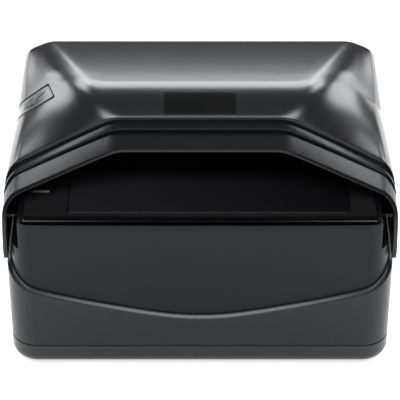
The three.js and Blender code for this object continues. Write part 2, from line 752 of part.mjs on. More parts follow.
function hoodStations() {
  const bandY = lipY + bandDepth;
  const bandTop = lipHeight + bandRise;
  const ribY = bandY + stepRun + ribDepth;
  const ribTop = bandTop + stepHeight + ribRise;
  const shellTop = ribTop + stepHeight;
  const w = hoodHalfWidth;
  const lip = station(lipY, lipHeight, w - lipFlat, w - 0.6, lipHeight - slopeDrop(w - lipFlat, w, 21.7),
    22, 13.3, w, rimLean, 0, 0);
  const bandBack = station(bandY, bandTop, w - lipFlat + 1, w - 1,
    bandTop - slopeDrop(w - lipFlat + 1, w, 22.6), 22, 13.3, w,
    rimLean * 0.97, 0, flare);
  const ribFront = { ...bandBack, y: bandY + stepRun, top: bandTop + stepHeight,
    cornerZ: bandBack.cornerZ + stepHeight };
  const ribBack = station(ribY, ribTop, w - lipFlat + 1.8, w - 1.6,
    ribTop - slopeDrop(w - lipFlat + 1.8, w, 24), 22, 13.6, w,
    rimLean * 0.94, 0, flare);
  const shell = { ...ribBack, y: ribY + stepRun, top: shellTop, cornerZ: ribBack.cornerZ + stepHeight };
  const crest = station(crestY, crestHeight, w - crestFlat, w - 5.2,
    crestHeight - slopeDrop(w - crestFlat, w, 38), 30, 17, w - 0.3,
    0, crestSweep, flare);
  const rear = station(rearEdgeY, rearEdgeHeight, w - rearFlat, w - 8.2, rearEdgeHeight - 5.5, 10, 9,
    w - 0.7, 0, 0, flare);
  const plateau = mixStations(crest, rear, 0.5, 0.25);
  plateau.sweep = crestSweep * 0.4;
  const slopeEnd = station(rearSlopeEndY, rearSlopeEndHeight, w - rearFlat, w - 3.8,
    rearSlopeEndHeight - 8, 14, 12, w - 0.9, 0, 0, flare);
  const turn = { ...slopeEnd, y: hoodRearY - 1.2, top: rearSlopeEndHeight - 3.6,
    cornerZ: rearSlopeEndHeight - 11 };
  const back = { ...turn, y: hoodRearY, top: turn.top - 2.2, cornerZ: turn.cornerZ - 2,
    corner: turn.corner - 1, foot: turn.foot - 1 };
  const blends = [];
  const steps = 6;
  for (let i = 1; i < steps; i += 1) {
    const t = i / steps;
    blends.push(mixStations(shell, crest, t, 0.25 * t + 0.75 * (1 - (1 - t) ** 2)));
  }
  return [lip, bandBack, ribFront, ribBack, shell, ...blends, crest, plateau, rear,
    mixStations(rear, slopeEnd, 0.5, 0.5), slopeEnd, turn, back];
}

// A round bend of a path at a corner: points of the arc that touches both straight stretches
function bendPoints(before, corner, after, radius, steps) {
  const u = before.clone().sub(corner).normalize();
  const v = after.clone().sub(corner).normalize();
  const half = Math.acos(THREE.MathUtils.clamp(u.dot(v), -1, 1)) / 2;
  const reach = Math.min(radius / Math.tan(half), before.distanceTo(corner) * 0.95,
    after.distanceTo(corner) * 0.95);
  const r = reach * Math.tan(half);
  const centre = u.clone().add(v).normalize().multiplyScalar(r / Math.sin(half)).add(corner);
  const start = u.clone().multiplyScalar(reach).add(corner).sub(centre);
  const end = v.clone().multiplyScalar(reach).add(corner).sub(centre);
  const sweep = Math.atan2(start.x * end.y - start.y * end.x, start.dot(end));
  const points = [];
  for (let i = 0; i <= steps; i += 1) {
    points.push(start.clone().rotateAround(new THREE.Vector2(0, 0), (sweep * i) / steps).add(centre));
  }
  return points;
}

// Point where two lines meet, each given by two points
function meet(a, b, c, d) {
  const r = b.clone().sub(a);
  const s = d.clone().sub(c);
  const t = ((c.x - a.x) * s.y - (c.y - a.y) * s.x) / (r.x * s.y - r.y * s.x);
  return r.multiplyScalar(t).add(a);
}

// Half a section of the hood in X and Z, from the foot of the side wall to the middle of the top
function halfSection(s, inset) {
  const foot = new THREE.Vector2(s.foot, hoodBottom + kneeHeight);
  const corner = new THREE.Vector2(s.corner, s.cornerZ);
  const bend = new THREE.Vector2(s.flat, s.top);
  const middle = new THREE.Vector2(0, s.top);
  const shift = (a, b) => {
    const d = b.clone().sub(a).normalize();
    const n = new THREE.Vector2(-d.y, d.x).multiplyScalar(inset);
    return [a.clone().add(n), b.clone().add(n)];
  };
  const [w0, w1] = shift(foot, corner);
  const [s0, s1] = shift(corner, bend);
  const [t0, t1] = shift(bend, middle);
  const innerCorner = inset ? meet(w0, w1, s0, s1) : corner;
  const innerBend = inset ? meet(s0, s1, t0, t1) : bend;
  const knee = new THREE.Vector2(s.foot - inset, hoodBottom + kneeHeight);
  const top = new THREE.Vector2(0, innerBend.y);
  // the inner face runs straight down, so that the wall is thicker at its flared foot
  const spread = s.flareOut * Math.max(0, 1 - inset / hoodWall);
  const footOut = new THREE.Vector2(knee.x + spread, hoodBottom);
  const below = inset ? [new THREE.Vector2(footOut.x, hoodBottom - 6)] : [];
  return [...below, footOut, new THREE.Vector2(knee.x, hoodBottom + flareHeight), knee,
    ...bendPoints(knee, innerCorner, innerBend, s.round - inset, 8),
    ...bendPoints(innerCorner, innerBend, top, s.bend - inset, 8),
    new THREE.Vector2(innerBend.x * 0.4, innerBend.y), new THREE.Vector2(0.5, innerBend.y)];
}

// The section as a loop in space: the rim leans back as it rises, and the crest sweeps back
// towards the sides
function sectionLoop(s, inset, y) {
  const half = halfSection(s, inset);
  const place = (x, z) => {
    const up = THREE.MathUtils.clamp((z - rimLeanStart) / (s.top - rimLeanStart), 0, 1);
    const ease = 0.5 * up + 0.5 * up * up * (3 - 2 * up);
    const outward = THREE.MathUtils.smoothstep(Math.abs(x), hoodHalfWidth - sweepInset,
      hoodHalfWidth - rearFlat);
    return new THREE.Vector3(x, y - s.lean * (1 - ease) + s.sweep * outward, z);
  };
  const right = half.map((p) => place(p.x, p.y));
  return right.concat(right.slice().reverse().map((p) => new THREE.Vector3(-p.x, p.y, p.z)));
}

// The outside of the hood as a full body, optionally grown or shrunk
function hoodBody(inset) {
  const stations = hoodStations();
  return loft(stations.map((s) => sectionLoop(s, inset, s.y)));
}

// The space inside the hood, open at the front and at the bottom
function hoodHollow(thickness) {
  const stations = hoodStations();
  const loops = stations.map((s) => {
    const shift = s.y < crestY ? thickness : 0;
    const back = s.y > rearEdgeY + 1 ? thickness : 0;
    return sectionLoop(s, thickness, s.y + shift - back);
  });
  const first = stations[0];
  loops.unshift(sectionLoop(first, thickness, first.y - 8));
  return loft(loops);
}

// The frame of the button: a turned group on the left shoulder, whose Z is the way it travels
const buttonFrame = new THREE.Group();
buttonFrame.position.set(buttonX, buttonY, buttonZ);
buttonFrame.rotation.set(0, -buttonTilt * degree, 0);
buttonFrame.rotateX(buttonLean * degree);
buttonFrame.rotateZ(buttonTurn * degree);
buttonFrame.updateMatrixWorld(true);

// An upright prism on the button's outline, a rectangle with slanted ends
function buttonPrism(grow, z0, z1) {
  const along = buttonLength / 2 + grow;
  const across = buttonWidth / 2 + grow;
  const slant = buttonSkew * across;
  const outline = new THREE.Shape();
  outline.moveTo(-along - slant, across);
  outline.lineTo(-along + slant, -across);
  outline.lineTo(along + slant, -across);
  outline.lineTo(along - slant, across);
  outline.closePath();
  const geometry = new THREE.ExtrudeGeometry(outline, { depth: z1 - z0, bevelEnabled: false });
  geometry.translate(0, 0, z0);
  return solid(geometry);
}

function inButtonFrame(body) {
  return body.transform(buttonFrame.matrixWorld.elements);
}

// Knuckles of the hood round the hinge pins, each on a web from the rear wall
function hoodKnuckle(side) {
  const x = side * hingeX;
  const mid = x + (side * washerThickness) / 2;
  const length = knuckleLength + washerThickness;
  const barrel = bar('x', knuckleRadius, length, mid, hingeY, hingeZ, 32);
  const x0 = mid - length / 2;
  return barrel.add(block(x0, x0 + length, hingeY, hoodRearY - hoodWall + 0.3, hingeZ - webDrop,
    hingeZ + knuckleRadius));
}

function hoodShell() {
  let hood = hoodBody(0).subtract(hoodHollow(hoodWall));
  hood = hood.subtract(block(-baseWidth, baseWidth, hingeY, baseDepth, 0, hoodRearBottom));
  for (const side of [-1, 1]) hood = hood.add(hoodKnuckle(side));
  for (const side of [-1, 1]) hood = hood.subtract(bar('x', pinRadius + fit, 40, side * hingeX, hingeY,
    hingeZ, 32));
  hood = hood.subtract(inButtonFrame(buttonPrism(buttonGap, -buttonDepth - 2, buttonDepth + 5)));
  const notch = pinEnd + fit;
  for (const side of [-1, 1]) {
    const x = side * hingeX;
    for (const [end, from] of [[-1, knuckleLength / 2], [1, knuckleLength / 2 + washerThickness]]) {
      const near = x + side * end * from;
      const far = x + side * end * notch;
      hood = hood.subtract(block(Math.min(near, far), Math.max(near, far), hingeY - 5, hoodRearY + 2, 0,
        hingeZ + notchRise));
    }
    hood = hood.subtract(block(x - notch, x + notch, hingeY + 1, hoodRearY + 2, 0, hingeZ - webDrop));
  }
  for (const side of [-1, 1]) hood = hood.add(hoodTab(side));
  for (const spot of boardPosts) hood = hood.add(boardPost(spot));
  return hood.subtract(plateBody(fit, 4));
}

// Small tab inside each side wall, which closes on a rubber stop
function hoodTab(side) {
  const x0 = side * (recessHalfWidth + 2 * fit);
  const x1 = side * (hoodHalfWidth - hoodWall + 2 * fit);
  const z = recessFloor + stopHeight + fit;
  return block(Math.min(x0, x1), Math.max(x0, x1), stopY - hoodWall * 2, stopY + hoodWall * 2, z,
    z + hoodWall);
}

// Posts that carry the switch board of the button, trimmed to the hood's wall
const boardPosts = [[-boardPostX, -1], [-boardPostX, 1], [boardPostX, -1], [boardPostX, 1]];

function boardPost([x, sign]) {
  const y = sign * (buttonWidth / 2 + buttonGap + boardPostGap);
  const post = inButtonFrame(bar('z', boardPostRadius, 2 * buttonDepth, x, y, 0, 12));
  return post.intersect(hoodBody(hoodWall * 0.4));
}

// Slope of the front of the hood between the shell's edge and the crest, in the middle
function frontSlopePoint(t) {
  const stations = hoodStations();
  const shell = stations[4];
  const crest = stations[10];
  const rise = 0.25 * t + 0.75 * (1 - (1 - t) ** 2);
  return new THREE.Vector2(shell.y + (crest.y - shell.y) * t, shell.top + (crest.top - shell.top) * rise);
}

// The bare plate on the front slope, as a turned block
function plateBody(margin, depth) {
  const a = frontSlopePoint(0.12);
  const b = frontSlopePoint(0.62);
  const angle = Math.atan2(b.y - a.y, b.x - a.x);
  const mid = a.clone().add(b).multiplyScalar(0.5);
  const w = plateWidth / 2 + margin;
  const h = plateHeight / 2 + margin;
  const geometry = new THREE.BoxGeometry(2 * w, 2 * h, plateThickness + margin + depth);
  geometry.translate(0, 0, (depth - plateThickness - margin) / 2);
  geometry.rotateX(angle);
  geometry.translate(0, mid.x, mid.y);
  return solid(geometry);
}

// Rubber foot: a disc with a rounded rim, let into the tray
function foot(x, y) {
  const r = footRadius;
  const h = footHeight + padDepth - seat;
  const profile = [[0, 0], [r - 0.8, 0], [r - 0.2, 0.25], [r, 0.8], [r, h], [0, h]];
  const geometry = new THREE.LatheGeometry(profile.map((p) => new THREE.Vector2(...p)), 28);
  geometry.rotateX(Math.PI / 2);
  geometry.translate(x, y, 0);
  return solid(geometry);
}

// Pan-head screw, head down or up
function screw(x, y, seatZ, length, headUp) {
  const way = headUp ? 1 : -1;
  const head = bar('z', screwHeadRadius, screwHeadHeight, x, y, seatZ + (way * screwHeadHeight) / 2, 20);
  const shank = bar('z', screwRadius - 0.15, length + 0.2, x, y, seatZ - (way * (length - 0.2)) / 2, 16);
  const slot = bar('z', screwHeadRadius * 0.45, 1, x, y, seatZ + way * screwHeadHeight, 6);
  return head.add(shank).subtract(slot);
}

// Hinge bracket: a foot plate with two ears that hold the pin
function hingeBracket(side) {
  const x = side * hingeX;
  const reach = bracketReach;
  const y0 = rearDeckY + bracketFrontGap;
  const y1 = hingeY + knuckleRadius;
  const z0 = rearDeckTop + seat;
  let bracket = block(x - reach, x + reach, y0, y1, z0, z0 + bracketThickness);
  for (const end of [-1, 1]) {
    const mid = x + end * (reach - earThickness / 2);
    const post = block(mid - earThickness / 2, mid + earThickness / 2, hingeY - knuckleRadius, y1, z0,
      hingeZ);
    bracket = bracket.add(post).add(bar('x', knuckleRadius, earThickness, mid, hingeY, hingeZ, 32));
  }
  bracket = bracket.subtract(bar('x', pinRadius + 0.1, 40, x, hingeY, hingeZ, 32));
  for (const [sx, sy] of bracketScrewSpots()) bracket = bracket.subtract(bar('z', screwRadius + 0.1, 20,
    sx, sy, z0, 16));
  return bracket;
}

// Hinge pin with a head on its outer end
function hingePin(side) {
  const reach = bracketReach;
  const x = side * hingeX;
  const shank = bar('x', pinRadius, 2 * reach + 1.6, x, hingeY, hingeZ, 32);
  return shank.add(bar('x', pinHead, pinHeadHeight, x + side * (pinEnd - pinHeadHeight / 2), hingeY,
    hingeZ, 32));
}

// Spring washer that gives the hinge its friction: a dished ring between ear and knuckle
function frictionWasher(side) {
  const x = side * (hingeX - knuckleLength / 2 - seat);
  const inner = pinRadius + 0.15;
  const outer = knuckleRadius - 0.2;
  const t = washerThickness;
  const profile = [[inner, 0], [outer, t * 0.4], [outer, t], [inner, t * 0.6], [inner, 0]];
  const geometry = new THREE.LatheGeometry(profile.map((p) => new THREE.Vector2(...p)), 32);
  geometry.rotateZ(side * Math.PI / 2);
  geometry.translate(x, hingeY, hingeZ);
  return solid(geometry);
}

// Rubber stop on the floor of the recess, which the hood's tab closes on
function hoodStop(side) {
  const x = side * (recessHalfWidth + panelHalfWidth) / 2;
  const profile = [[0, 0], [stopRadius, 0], [stopRadius, stopHeight * 0.6],
    [stopRadius * 0.7, stopHeight], [0, stopHeight]];
  const geometry = new THREE.LatheGeometry(profile.map((p) => new THREE.Vector2(...p)), 20);
  geometry.rotateX(Math.PI / 2);
  geometry.translate(x, stopY, recessFloor + seat);
  return solid(geometry);
}

// Status lens: a light pipe that ends flush in the deck
function statusLens() {
  const l = statusLength / 2;
  const w = statusWidth / 2;
  const body = block(statusX - l, statusX + l, statusY - w, statusY + w, deckBottom - 2, housingTop - 0.1);
  const e = statusFlange;
  const flange = block(statusX - l - e, statusX + l + e, statusY - w - e, statusY + w + e,
    deckBottom - 2, deckBottom - seat);
  return body.add(flange);
}

// Cap of the push button, cut from the hood's own surface, with a stem under it. It is worked
// out in the button's own frame.
function buttonCap() {
  const prism = buttonPrism(0, -buttonLength, buttonLength);
  const inverse = buttonFrame.matrixWorld.clone().invert().elements;
  const skin = hoodBody(0.1).subtract(hoodHollow(buttonSkin)).transform(inverse);
  const upper = block(-buttonLength, buttonLength, -buttonLength, buttonLength, -buttonDepth - 3,
    buttonLength);
  const shell = skin.intersect(prism).intersect(upper);
  const stemTop = -buttonSkin;
  const stemLow = -buttonDepth + switchHeight + buttonTravel + 0.1;
  const stemHeight = stemTop - stemLow + 0.9;
  const stem = bar('z', buttonStemRadius, stemHeight, 0, 0, stemLow + stemHeight / 2, 20);
  return shell.add(stem);
}

// Spring under the button: a coil round the stem, with its ends resting on cap and board
function buttonSpring() {
  const top = -springTop;
  const low = -buttonDepth + springWire + seat;
  const points = [];
  const steps = springTurns * 10;
  for (let i = 0; i <= steps; i += 1) {
    const angle = (i / 10) * 2 * Math.PI;
    points.push(new THREE.Vector3(springRadius * Math.cos(angle), springRadius * Math.sin(angle),
      low + ((top - low) * i) / steps));
  }
  const path = new THREE.CatmullRomCurve3(points);
  const section = new THREE.Shape();
  section.absarc(0, 0, springWire, 0, 2 * Math.PI);
  return solid(new THREE.ExtrudeGeometry(section, { steps, bevelEnabled: false, extrudePath: path,
    curveSegments: 3 }));
}

// Switch board of the button, with the switch in its middle
function buttonBoard() {
  const half = switchBoardLength / 2;
  const w = buttonWidth / 2 + buttonGap + boardPostGap + boardPostRadius;
  const top = -buttonDepth - seat;
  const board = block(-half, half, -w, w, top - boardThickness, top);
  const s = switchHalf;
  const body = block(-s, s, -s, s, top - seat, top + switchHeight - plungerHeight);
  const plunger = bar('z', plungerRadius, plungerHeight + seat, 0, 0,
    top + switchHeight - (plungerHeight + seat) / 2, 16);
  return board.add(body).add(plunger);
}

piece('bottom_tray', bottomTray(), charcoal);
piece('lower_housing', lowerHousing(), charcoal);
piece('upper_housing', upperHousing(), charcoal);
piece('deck_plate', deckPlate(), deckBlack);
piece('platen_glass', windowBlock(0, glassBottom, glassTop), glassBlack);
piece('platen_gasket', gasket(), rubberBlack);
piece('optical_chamber', opticalChamber(), innerBlack);
piece('camera_board', cameraBoard(), boardGreen);
piece('camera_lens', cameraLens(), innerBlack);
for (const side of [-1, 1]) {
  const hand = side < 0 ? 'left' : 'right';
  const { board, x, top } = lightBoard(side);
  piece(`light_board_${hand}`, board, boardGreen);
  piece(`light_diffuser_${hand}`, diffuser(x, top), milky);
}
piece('antenna_board', antennaBoard(), boardGreen);
piece('main_board', mainBoard(), boardGreen);
piece('usb_socket', socket(usbX, usbWidth, usbHeight, usbDepth), steel);
piece('power_jack', powerJack(), innerBlack);
piece('status_lens', statusLens(), smoked);
piece('hood_shell', hoodShell(), charcoal);
piece('hood_plate', plateBody(0, 0), deckBlack);
const names = ['front_left', 'front_right', 'rear_left', 'rear_right'];
screwSpots.forEach(([sx, sy], i) => {
  piece(`foot_${names[i]}`, foot(sx * (halfWidth - footInset), sy * (halfDepth - footInset)), rubberBlack);
  piece(`case_screw_${names[i]}`, screw(sx * caseScrewX, sy * caseScrewY, footHeight + caseScrewSink,
    caseScrewLength, false), steel);
});
bracketScrewSpots().forEach(([x, y], i) => {
  piece(`bracket_screw_${i + 1}`, screw(x, y, rearDeckTop + bracketThickness + 2 * seat,
    bracketScrewLength, true), steel);
});
for (const side of [-1, 1]) {
  const hand = side < 0 ? 'left' : 'right';
  piece(`hinge_bracket_${hand}`, hingeBracket(side), steel);
  piece(`hinge_pin_${hand}`, hingePin(side), steel);
  piece(`friction_washer_${hand}`, frictionWasher(side), steel);
  piece(`hood_stop_${hand}`, hoodStop(side), rubberBlack);
}
piece('button_cap', buttonCap(), charcoal, buttonFrame);
piece('button_spring', buttonSpring(), steel, buttonFrame);
piece('button_board', buttonBoard(), boardGreen, buttonFrame);
model.add(buttonFrame);

export default model;
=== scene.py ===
import json
import math

import bmesh
import bpy
import numpy as np
from mathutils import Matrix, Vector
from mathutils.bvhtree import BVHTree

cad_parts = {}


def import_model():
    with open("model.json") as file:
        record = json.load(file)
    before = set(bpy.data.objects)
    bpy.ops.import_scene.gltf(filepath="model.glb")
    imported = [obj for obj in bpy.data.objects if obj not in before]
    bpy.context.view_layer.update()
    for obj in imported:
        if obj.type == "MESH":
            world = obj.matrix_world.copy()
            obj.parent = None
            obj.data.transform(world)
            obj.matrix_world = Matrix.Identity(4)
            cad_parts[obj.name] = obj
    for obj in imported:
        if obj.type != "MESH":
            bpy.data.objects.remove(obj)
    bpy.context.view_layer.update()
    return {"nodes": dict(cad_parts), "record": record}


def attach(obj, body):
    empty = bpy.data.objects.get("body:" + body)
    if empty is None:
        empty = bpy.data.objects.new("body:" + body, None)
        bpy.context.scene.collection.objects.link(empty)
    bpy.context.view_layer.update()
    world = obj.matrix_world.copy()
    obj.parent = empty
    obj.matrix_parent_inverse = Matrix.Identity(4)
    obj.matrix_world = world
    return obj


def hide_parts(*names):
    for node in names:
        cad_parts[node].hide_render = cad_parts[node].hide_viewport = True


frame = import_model()

MM = 0.001
DEGREE = math.pi / 180

# Sizes shared with the solids, in millimetres
HALF_WIDTH = 90.6
HALF_DEPTH = 67.0
CORNER = 12.5
WALL = 2.1
LEDGE = 2.4
PANEL_WIDTH = HALF_WIDTH - LEDGE
PANEL_DEPTH = HALF_DEPTH - LEDGE
TOP = 86.0
RECESS_X = 84.2
REAR_DECK_Y = 46.0
REAR_DECK_TOP = 83.5
HINGE_Y = 60.4
HINGE_Z = 92.5
HINGE_X = 58.0
HOOD_WALL = 2.0
HOOD_BOTTOM = 61.2
HOOD_REAR_BOTTOM = 87.0
HOOD_HALF = 91.8
EAR = 9.95
PARTING = 14.5
FOOT_X, FOOT_Y = 71.6, 48
CASE_SCREW_X, CASE_SCREW_Y = 73.6, 35
BUTTON = dict(x=-79.5, y=-7.2, z=114.6, tilt=40.0, lean=12.0, turn=-5.0, length=24.5, width=8.8,
              gap=0.55, skew=0.3)

# The hood's long profile: how far its lip leans forward at the feet, and where its edges lie
RIM_LEAN = 13.5
LIP_TOP = 115.1
BAND_Y, BAND_TOP = -36.6, 118.3
SHELL_Y, SHELL_TOP = -32.4, 124.0
CREST_Y, CREST_TOP = -14.6, 131.4

# The step between the housings: its height in the middle of the front, how far it rises and
# swells over its reach to either side, and its height along the sides
STEP_LOW = 31.4
STEP_RISE = 15.4
STEP_SWELL = 0.9
STEP_REACH = 75.0
STEP_HIGH = 60.7

# The rear edge of the groove along the deck's front, where the deck's painted shade ends
GROOVE_REAR = -56.8


# Materials
class Value:
    """A socket with arithmetic: every operator adds one Math node to the tree."""

    def __init__(self, tree, socket):
        self.tree = tree
        self.socket = socket

    def _math(self, operation, *others):
        node = self.tree.nodes.new("ShaderNodeMath")
        node.operation = operation
        for slot, item in zip(node.inputs, (self,) + others):
            if isinstance(item, Value):
                self.tree.links.new(item.socket, slot)
            else:
                slot.default_value = item
        return Value(self.tree, node.outputs[0])

    def __add__(self, other):
        return self._math("ADD", other)

    __radd__ = __add__

    def __mul__(self, other):
        return self._math("MULTIPLY", other)

    __rmul__ = __mul__

    def __sub__(self, other):
        return self._math("SUBTRACT", other)

    def __rsub__(self, other):
        return (self * -1.0) + other

    def __truediv__(self, other):
        return self._math("DIVIDE", other)

    def power(self, other):
        return self._math("POWER", other)

    def at_least(self, low):
        return self._math("MAXIMUM", low)

    def at_most(self, high):
        return self._math("MINIMUM", high)

    def above(self, edge, softness):
        """0 below the edge, 1 above it, over a short ramp."""
        return ((self - edge) / softness + 0.5).at_least(0.0).at_most(1.0)


class Shader:
    """One node material. node() adds any node by its type, setting its sockets by name."""

    def __init__(self, name):
        self.material = bpy.data.materials.new(name)
        self.material.use_nodes = True
        self.tree = self.material.node_tree
        self.tree.nodes.clear()
        self.output = self.tree.nodes.new("ShaderNodeOutputMaterial")
        self.bsdf = self.tree.nodes.new("ShaderNodeBsdfPrincipled")
        self.tree.links.new(self.bsdf.outputs[0], self.output.inputs[0])

    def node(self, kind, out=0, properties=None, **sockets):
        made = self.tree.nodes.new("ShaderNode" + kind)
        for key, item in (properties or {}).items():
            setattr(made, key, item)
        for key, item in sockets.items():
            self.feed(made.inputs[key.replace("_", " ")], item)
        return Value(self.tree, made.outputs[out])

    def feed(self, socket, item):
        if isinstance(item, Value):
            self.tree.links.new(item.socket, socket)
        else:
            socket.default_value = item

    def set(self, **sockets):
        for key, item in sockets.items():
            self.feed(self.bsdf.inputs[key.replace("_", " ")], item)

    def place(self):
        """The object's own coordinates, in metres."""
        return self.node("TexCoord", out=3)

    def along(self, axis):
        """One of the object's own coordinates: 0 for X, 1 for Y and 2 for Z."""
        return self.node("SeparateXYZ", out=axis, Vector=self.place())

    def noise(self, scale, detail=3.0, roughness=0.55):
        """Noise of the object's own coordinates, from 0 to 1, in features per metre."""
        return self.node("TexNoise", Vector=self.place(), Scale=scale, Detail=detail, Roughness=roughness)

    def mix(self, amount, dark, light):
        return self.node("Mix", out=2, properties={"data_type": "RGBA"}, Factor=amount, A=dark, B=light)

    def bump(self, height, distance, strength):
        self.set(Normal=self.node("Bump", Strength=strength, Distance=distance, Height=height))


def grey(value, blue=1.0):
    return (value, value, value * blue, 1)


def brighter(colour, factor, lift=0.0):
    return tuple(min(1.0, c * factor + lift) for c in colour[:3]) + (1,)


def behind_groove(s):
    """0 on the hood's rim and 1 behind its upper groove, which leans as the rim does. With up
    running from 0 at a height of 80 mm to 1 at 122.8 mm, and ease = up / 2 + up squared times
    (3 - 2 up) / 2, the groove lies 12.7 (1 - ease) mm in front of its place at the top."""
    groove, lean = (SHELL_Y - 0.15) * MM, 12.7 * MM
    up = s.along(2).above(0.1014, 0.0428)
    ease = up * 0.5 + up * up * (3.0 - 2.0 * up) * 0.5
    return (s.along(1) + (1.0 - ease) * lean).above(groove, 0.0005)


def on_ledge(s):
    """0.8 on the ledge along the middle of the front, fading towards its ends, and 0 below it.
    The ledge begins 0.5 mm below the height that wave() gives, here in metres."""
    across = (s.along(0) * s.along(0)).power(0.5) / (STEP_REACH * MM)
    middle = (across - 0.5) / 0.45
    swell = (1.0 - middle * middle).at_least(0.0).power(2.0) * (STEP_SWELL * MM)
    edge = across * across * (1.35 - across * 0.35) * (STEP_RISE * MM) + swell + STEP_LOW * MM
    over_edge = (s.along(2) - edge).above(-0.0005, 0.0002)
    in_front = (-0.058 - s.along(1)).above(0.0, 0.003)
    near_middle = (0.74 - across).above(0.0, 0.5)
    return over_edge * in_front * near_middle * 0.8


def plastic(name, colour, rough, grain=9000.0, depth=0.00004, smear=0.06, gloss=1.45, coat=None):
    """Moulded plastic: a fine grain in the surface, slow smears in gloss, and a little dust.
    A coat is a function that says where the surface has more gloss."""
    s = Shader(name)
    fine = s.noise(grain, 2.0)
    slow = s.noise(38.0, 3.0)
    specks = s.noise(2600.0, 1.0).above(0.72, 0.04)
    tone = s.mix(slow * 0.6 + specks * 0.25, colour, brighter(colour, 1.25, 0.004))
    s.set(Base_Color=tone, Roughness=(slow - 0.5) * smear + (fine - 0.5) * 0.06 + rough, IOR=gloss)
    s.set(Specular_Tint=(0.88, 0.93, 1.0, 1))
    if coat:
        s.set(Coat_Weight=coat(s), Coat_Roughness=rough, Coat_IOR=1.46)
    s.bump(fine, depth, 0.5)
    return s.material


def metal(name, colour, rough):
    """Plated or turned steel with fine drawn lines and faint stains."""
    s = Shader(name)
    lines = s.node("Mapping", Vector=s.place(), Scale=(1, 1, 14))
    drawn = s.node("TexNoise", Vector=lines, Scale=1400.0, Detail=3.0)
    stain = s.noise(120.0, 3.0)
    tone = s.mix(stain, colour, brighter(colour, 0.8))
    s.set(Base_Color=tone, Metallic=1.0, Roughness=(drawn - 0.5) * 0.25 + stain * 0.08 + rough)
    s.bump(drawn, 0.00002, 0.4)
    return s.material


def board(name):
    """Circuit board: solder mask with fine traces as darker and lighter bands."""
    s = Shader(name)
    cells = s.node("TexVoronoi", properties={"distance": "CHEBYCHEV"}, Vector=s.place(), Scale=420.0)
    trace = cells.above(0.42, 0.05)
    fine = s.noise(5000.0)
    tone = s.mix(trace, (0.012, 0.055, 0.025, 1), (0.03, 0.12, 0.05, 1))
    s.set(Base_Color=tone, Roughness=fine * 0.2 + 0.25)
    s.bump(trace, 0.00003, 0.5)
    return s.material


def deck(name):
    """The deck's satin black plastic, with painted shade that darkens the groove along its front edge."""
    s = Shader(name)
    fine = s.noise(12000.0, 2.0)
    rear = s.along(1).above(GROOVE_REAR * MM, 0.0003)
    tone = s.mix(s.noise(45.0), grey(0.016, 1.1), grey(0.024, 1.1))
    # Painted shade: in front of GROOVE_REAR the deck's colour is near black, standing in for shade in the
    # groove
    s.set(Base_Color=s.mix(rear, grey(0.002), tone), Roughness=(fine - 0.5) * 0.06 + 0.28)
    s.bump(fine, 0.00002, 0.5)
    return s.material


def glass(name):
    """Dark window: a polished face over a black room, with painted light that lifts its left side to a
    faint grey and fades out towards the right, and wiping marks.
    """
    s = Shader(name)
    wipe = s.node("Mapping", Vector=s.place(), Scale=(1.0, 5.0, 1.0), Rotation=(0, 0, 0.5))
    marks = s.node("TexNoise", Vector=wipe, Scale=30.0, Detail=5.0)
    dust = s.noise(2200.0, 1.0).above(0.76, 0.03)
    # Painted light: the window's colour is a faint grey on the left and near black on the right
    painted_light_fade = s.along(0).above(0.0, 0.16)
    painted_light_tone = s.mix(painted_light_fade, (0.024, 0.024, 0.027, 1), (0.006, 0.006, 0.007, 1))
    tone = s.mix(dust * 0.5, painted_light_tone, (0.04, 0.04, 0.042, 1))
    s.set(Base_Color=tone, Roughness=marks * 0.05 + dust * 0.2 + 0.02, IOR=1.5)
    s.bump(marks, 0.00001, 0.15)
    return s.material


def rubber(name):
    """Soft black rubber with a matt skin."""
    s = Shader(name)
    fine = s.noise(3500.0, 4.0)
    tone = s.mix(fine, (0.008, 0.008, 0.008, 1), (0.022, 0.022, 0.021, 1))
    s.set(Base_Color=tone, Roughness=fine * 0.15 + 0.7)
    s.bump(fine, 0.0001, 0.6)
    return s.material


def milky(name):
    """White diffuser plastic."""
    s = Shader(name)
    slow = s.noise(160.0)
    tone = s.mix(slow, (0.62, 0.63, 0.65, 1), (0.8, 0.8, 0.8, 1))
    s.set(Base_Color=tone, Roughness=slow * 0.2 + 0.25)
    s.bump(s.noise(4000.0), 0.00003, 0.3)
    return s.material


CHARCOAL = (0.007, 0.0075, 0.011, 1)
HOOD_CHARCOAL = (0.006, 0.0062, 0.008, 1)
LOOKS = {
    "charcoal": plastic("charcoal", CHARCOAL, 0.27, gloss=1.38),
    "skirt_charcoal": plastic("skirt_charcoal", CHARCOAL, 0.27, gloss=1.38, coat=on_ledge),
    "hood_charcoal": plastic("hood_charcoal", HOOD_CHARCOAL, 0.19, gloss=1.4, coat=behind_groove),
    "panel_charcoal": plastic("panel_charcoal", CHARCOAL, 0.32, gloss=1.27),
    "pan_charcoal": plastic("pan_charcoal", (0.009, 0.0092, 0.012, 1), 0.25, gloss=1.46),
    "plate_black": plastic("plate_black", grey(0.003), 0.3, grain=12000.0, depth=0.00001, gloss=1.25),
    "deck_black": deck("deck_black"),
    "glass_black": glass("glass_black"),
    "rubber": rubber("rubber"),
    "inner_black": plastic("inner_black", grey(0.006), 0.6, depth=0.00008),
    "board_green": board("board_green"),
    "milky": milky("milky"),
    "steel": metal("steel", (0.3, 0.305, 0.31, 1), 0.32),
}
# The material slot of each look that isn't a slot by itself
for part in frame["record"]["subparts"]:
    shown = frame["nodes"][part["node"]]
    shown.data.materials.clear()
    shown.data.materials.append(LOOKS[part["material_slot"]])


# Surface helpers
def grid_faces(rows, columns, close_rows=False, close_columns=False, start=0):
    """Quads of a grid of points stored row by row."""
    faces = []
    for j in range(rows if close_rows else rows - 1):
        for i in range(columns if close_columns else columns - 1):
            a = start + j * columns + i
            b = start + j * columns + (i + 1) % columns
            c = start + ((j + 1) % rows) * columns + (i + 1) % columns
            d = start + ((j + 1) % rows) * columns + i
            faces.append((a, b, c, d))
    return faces


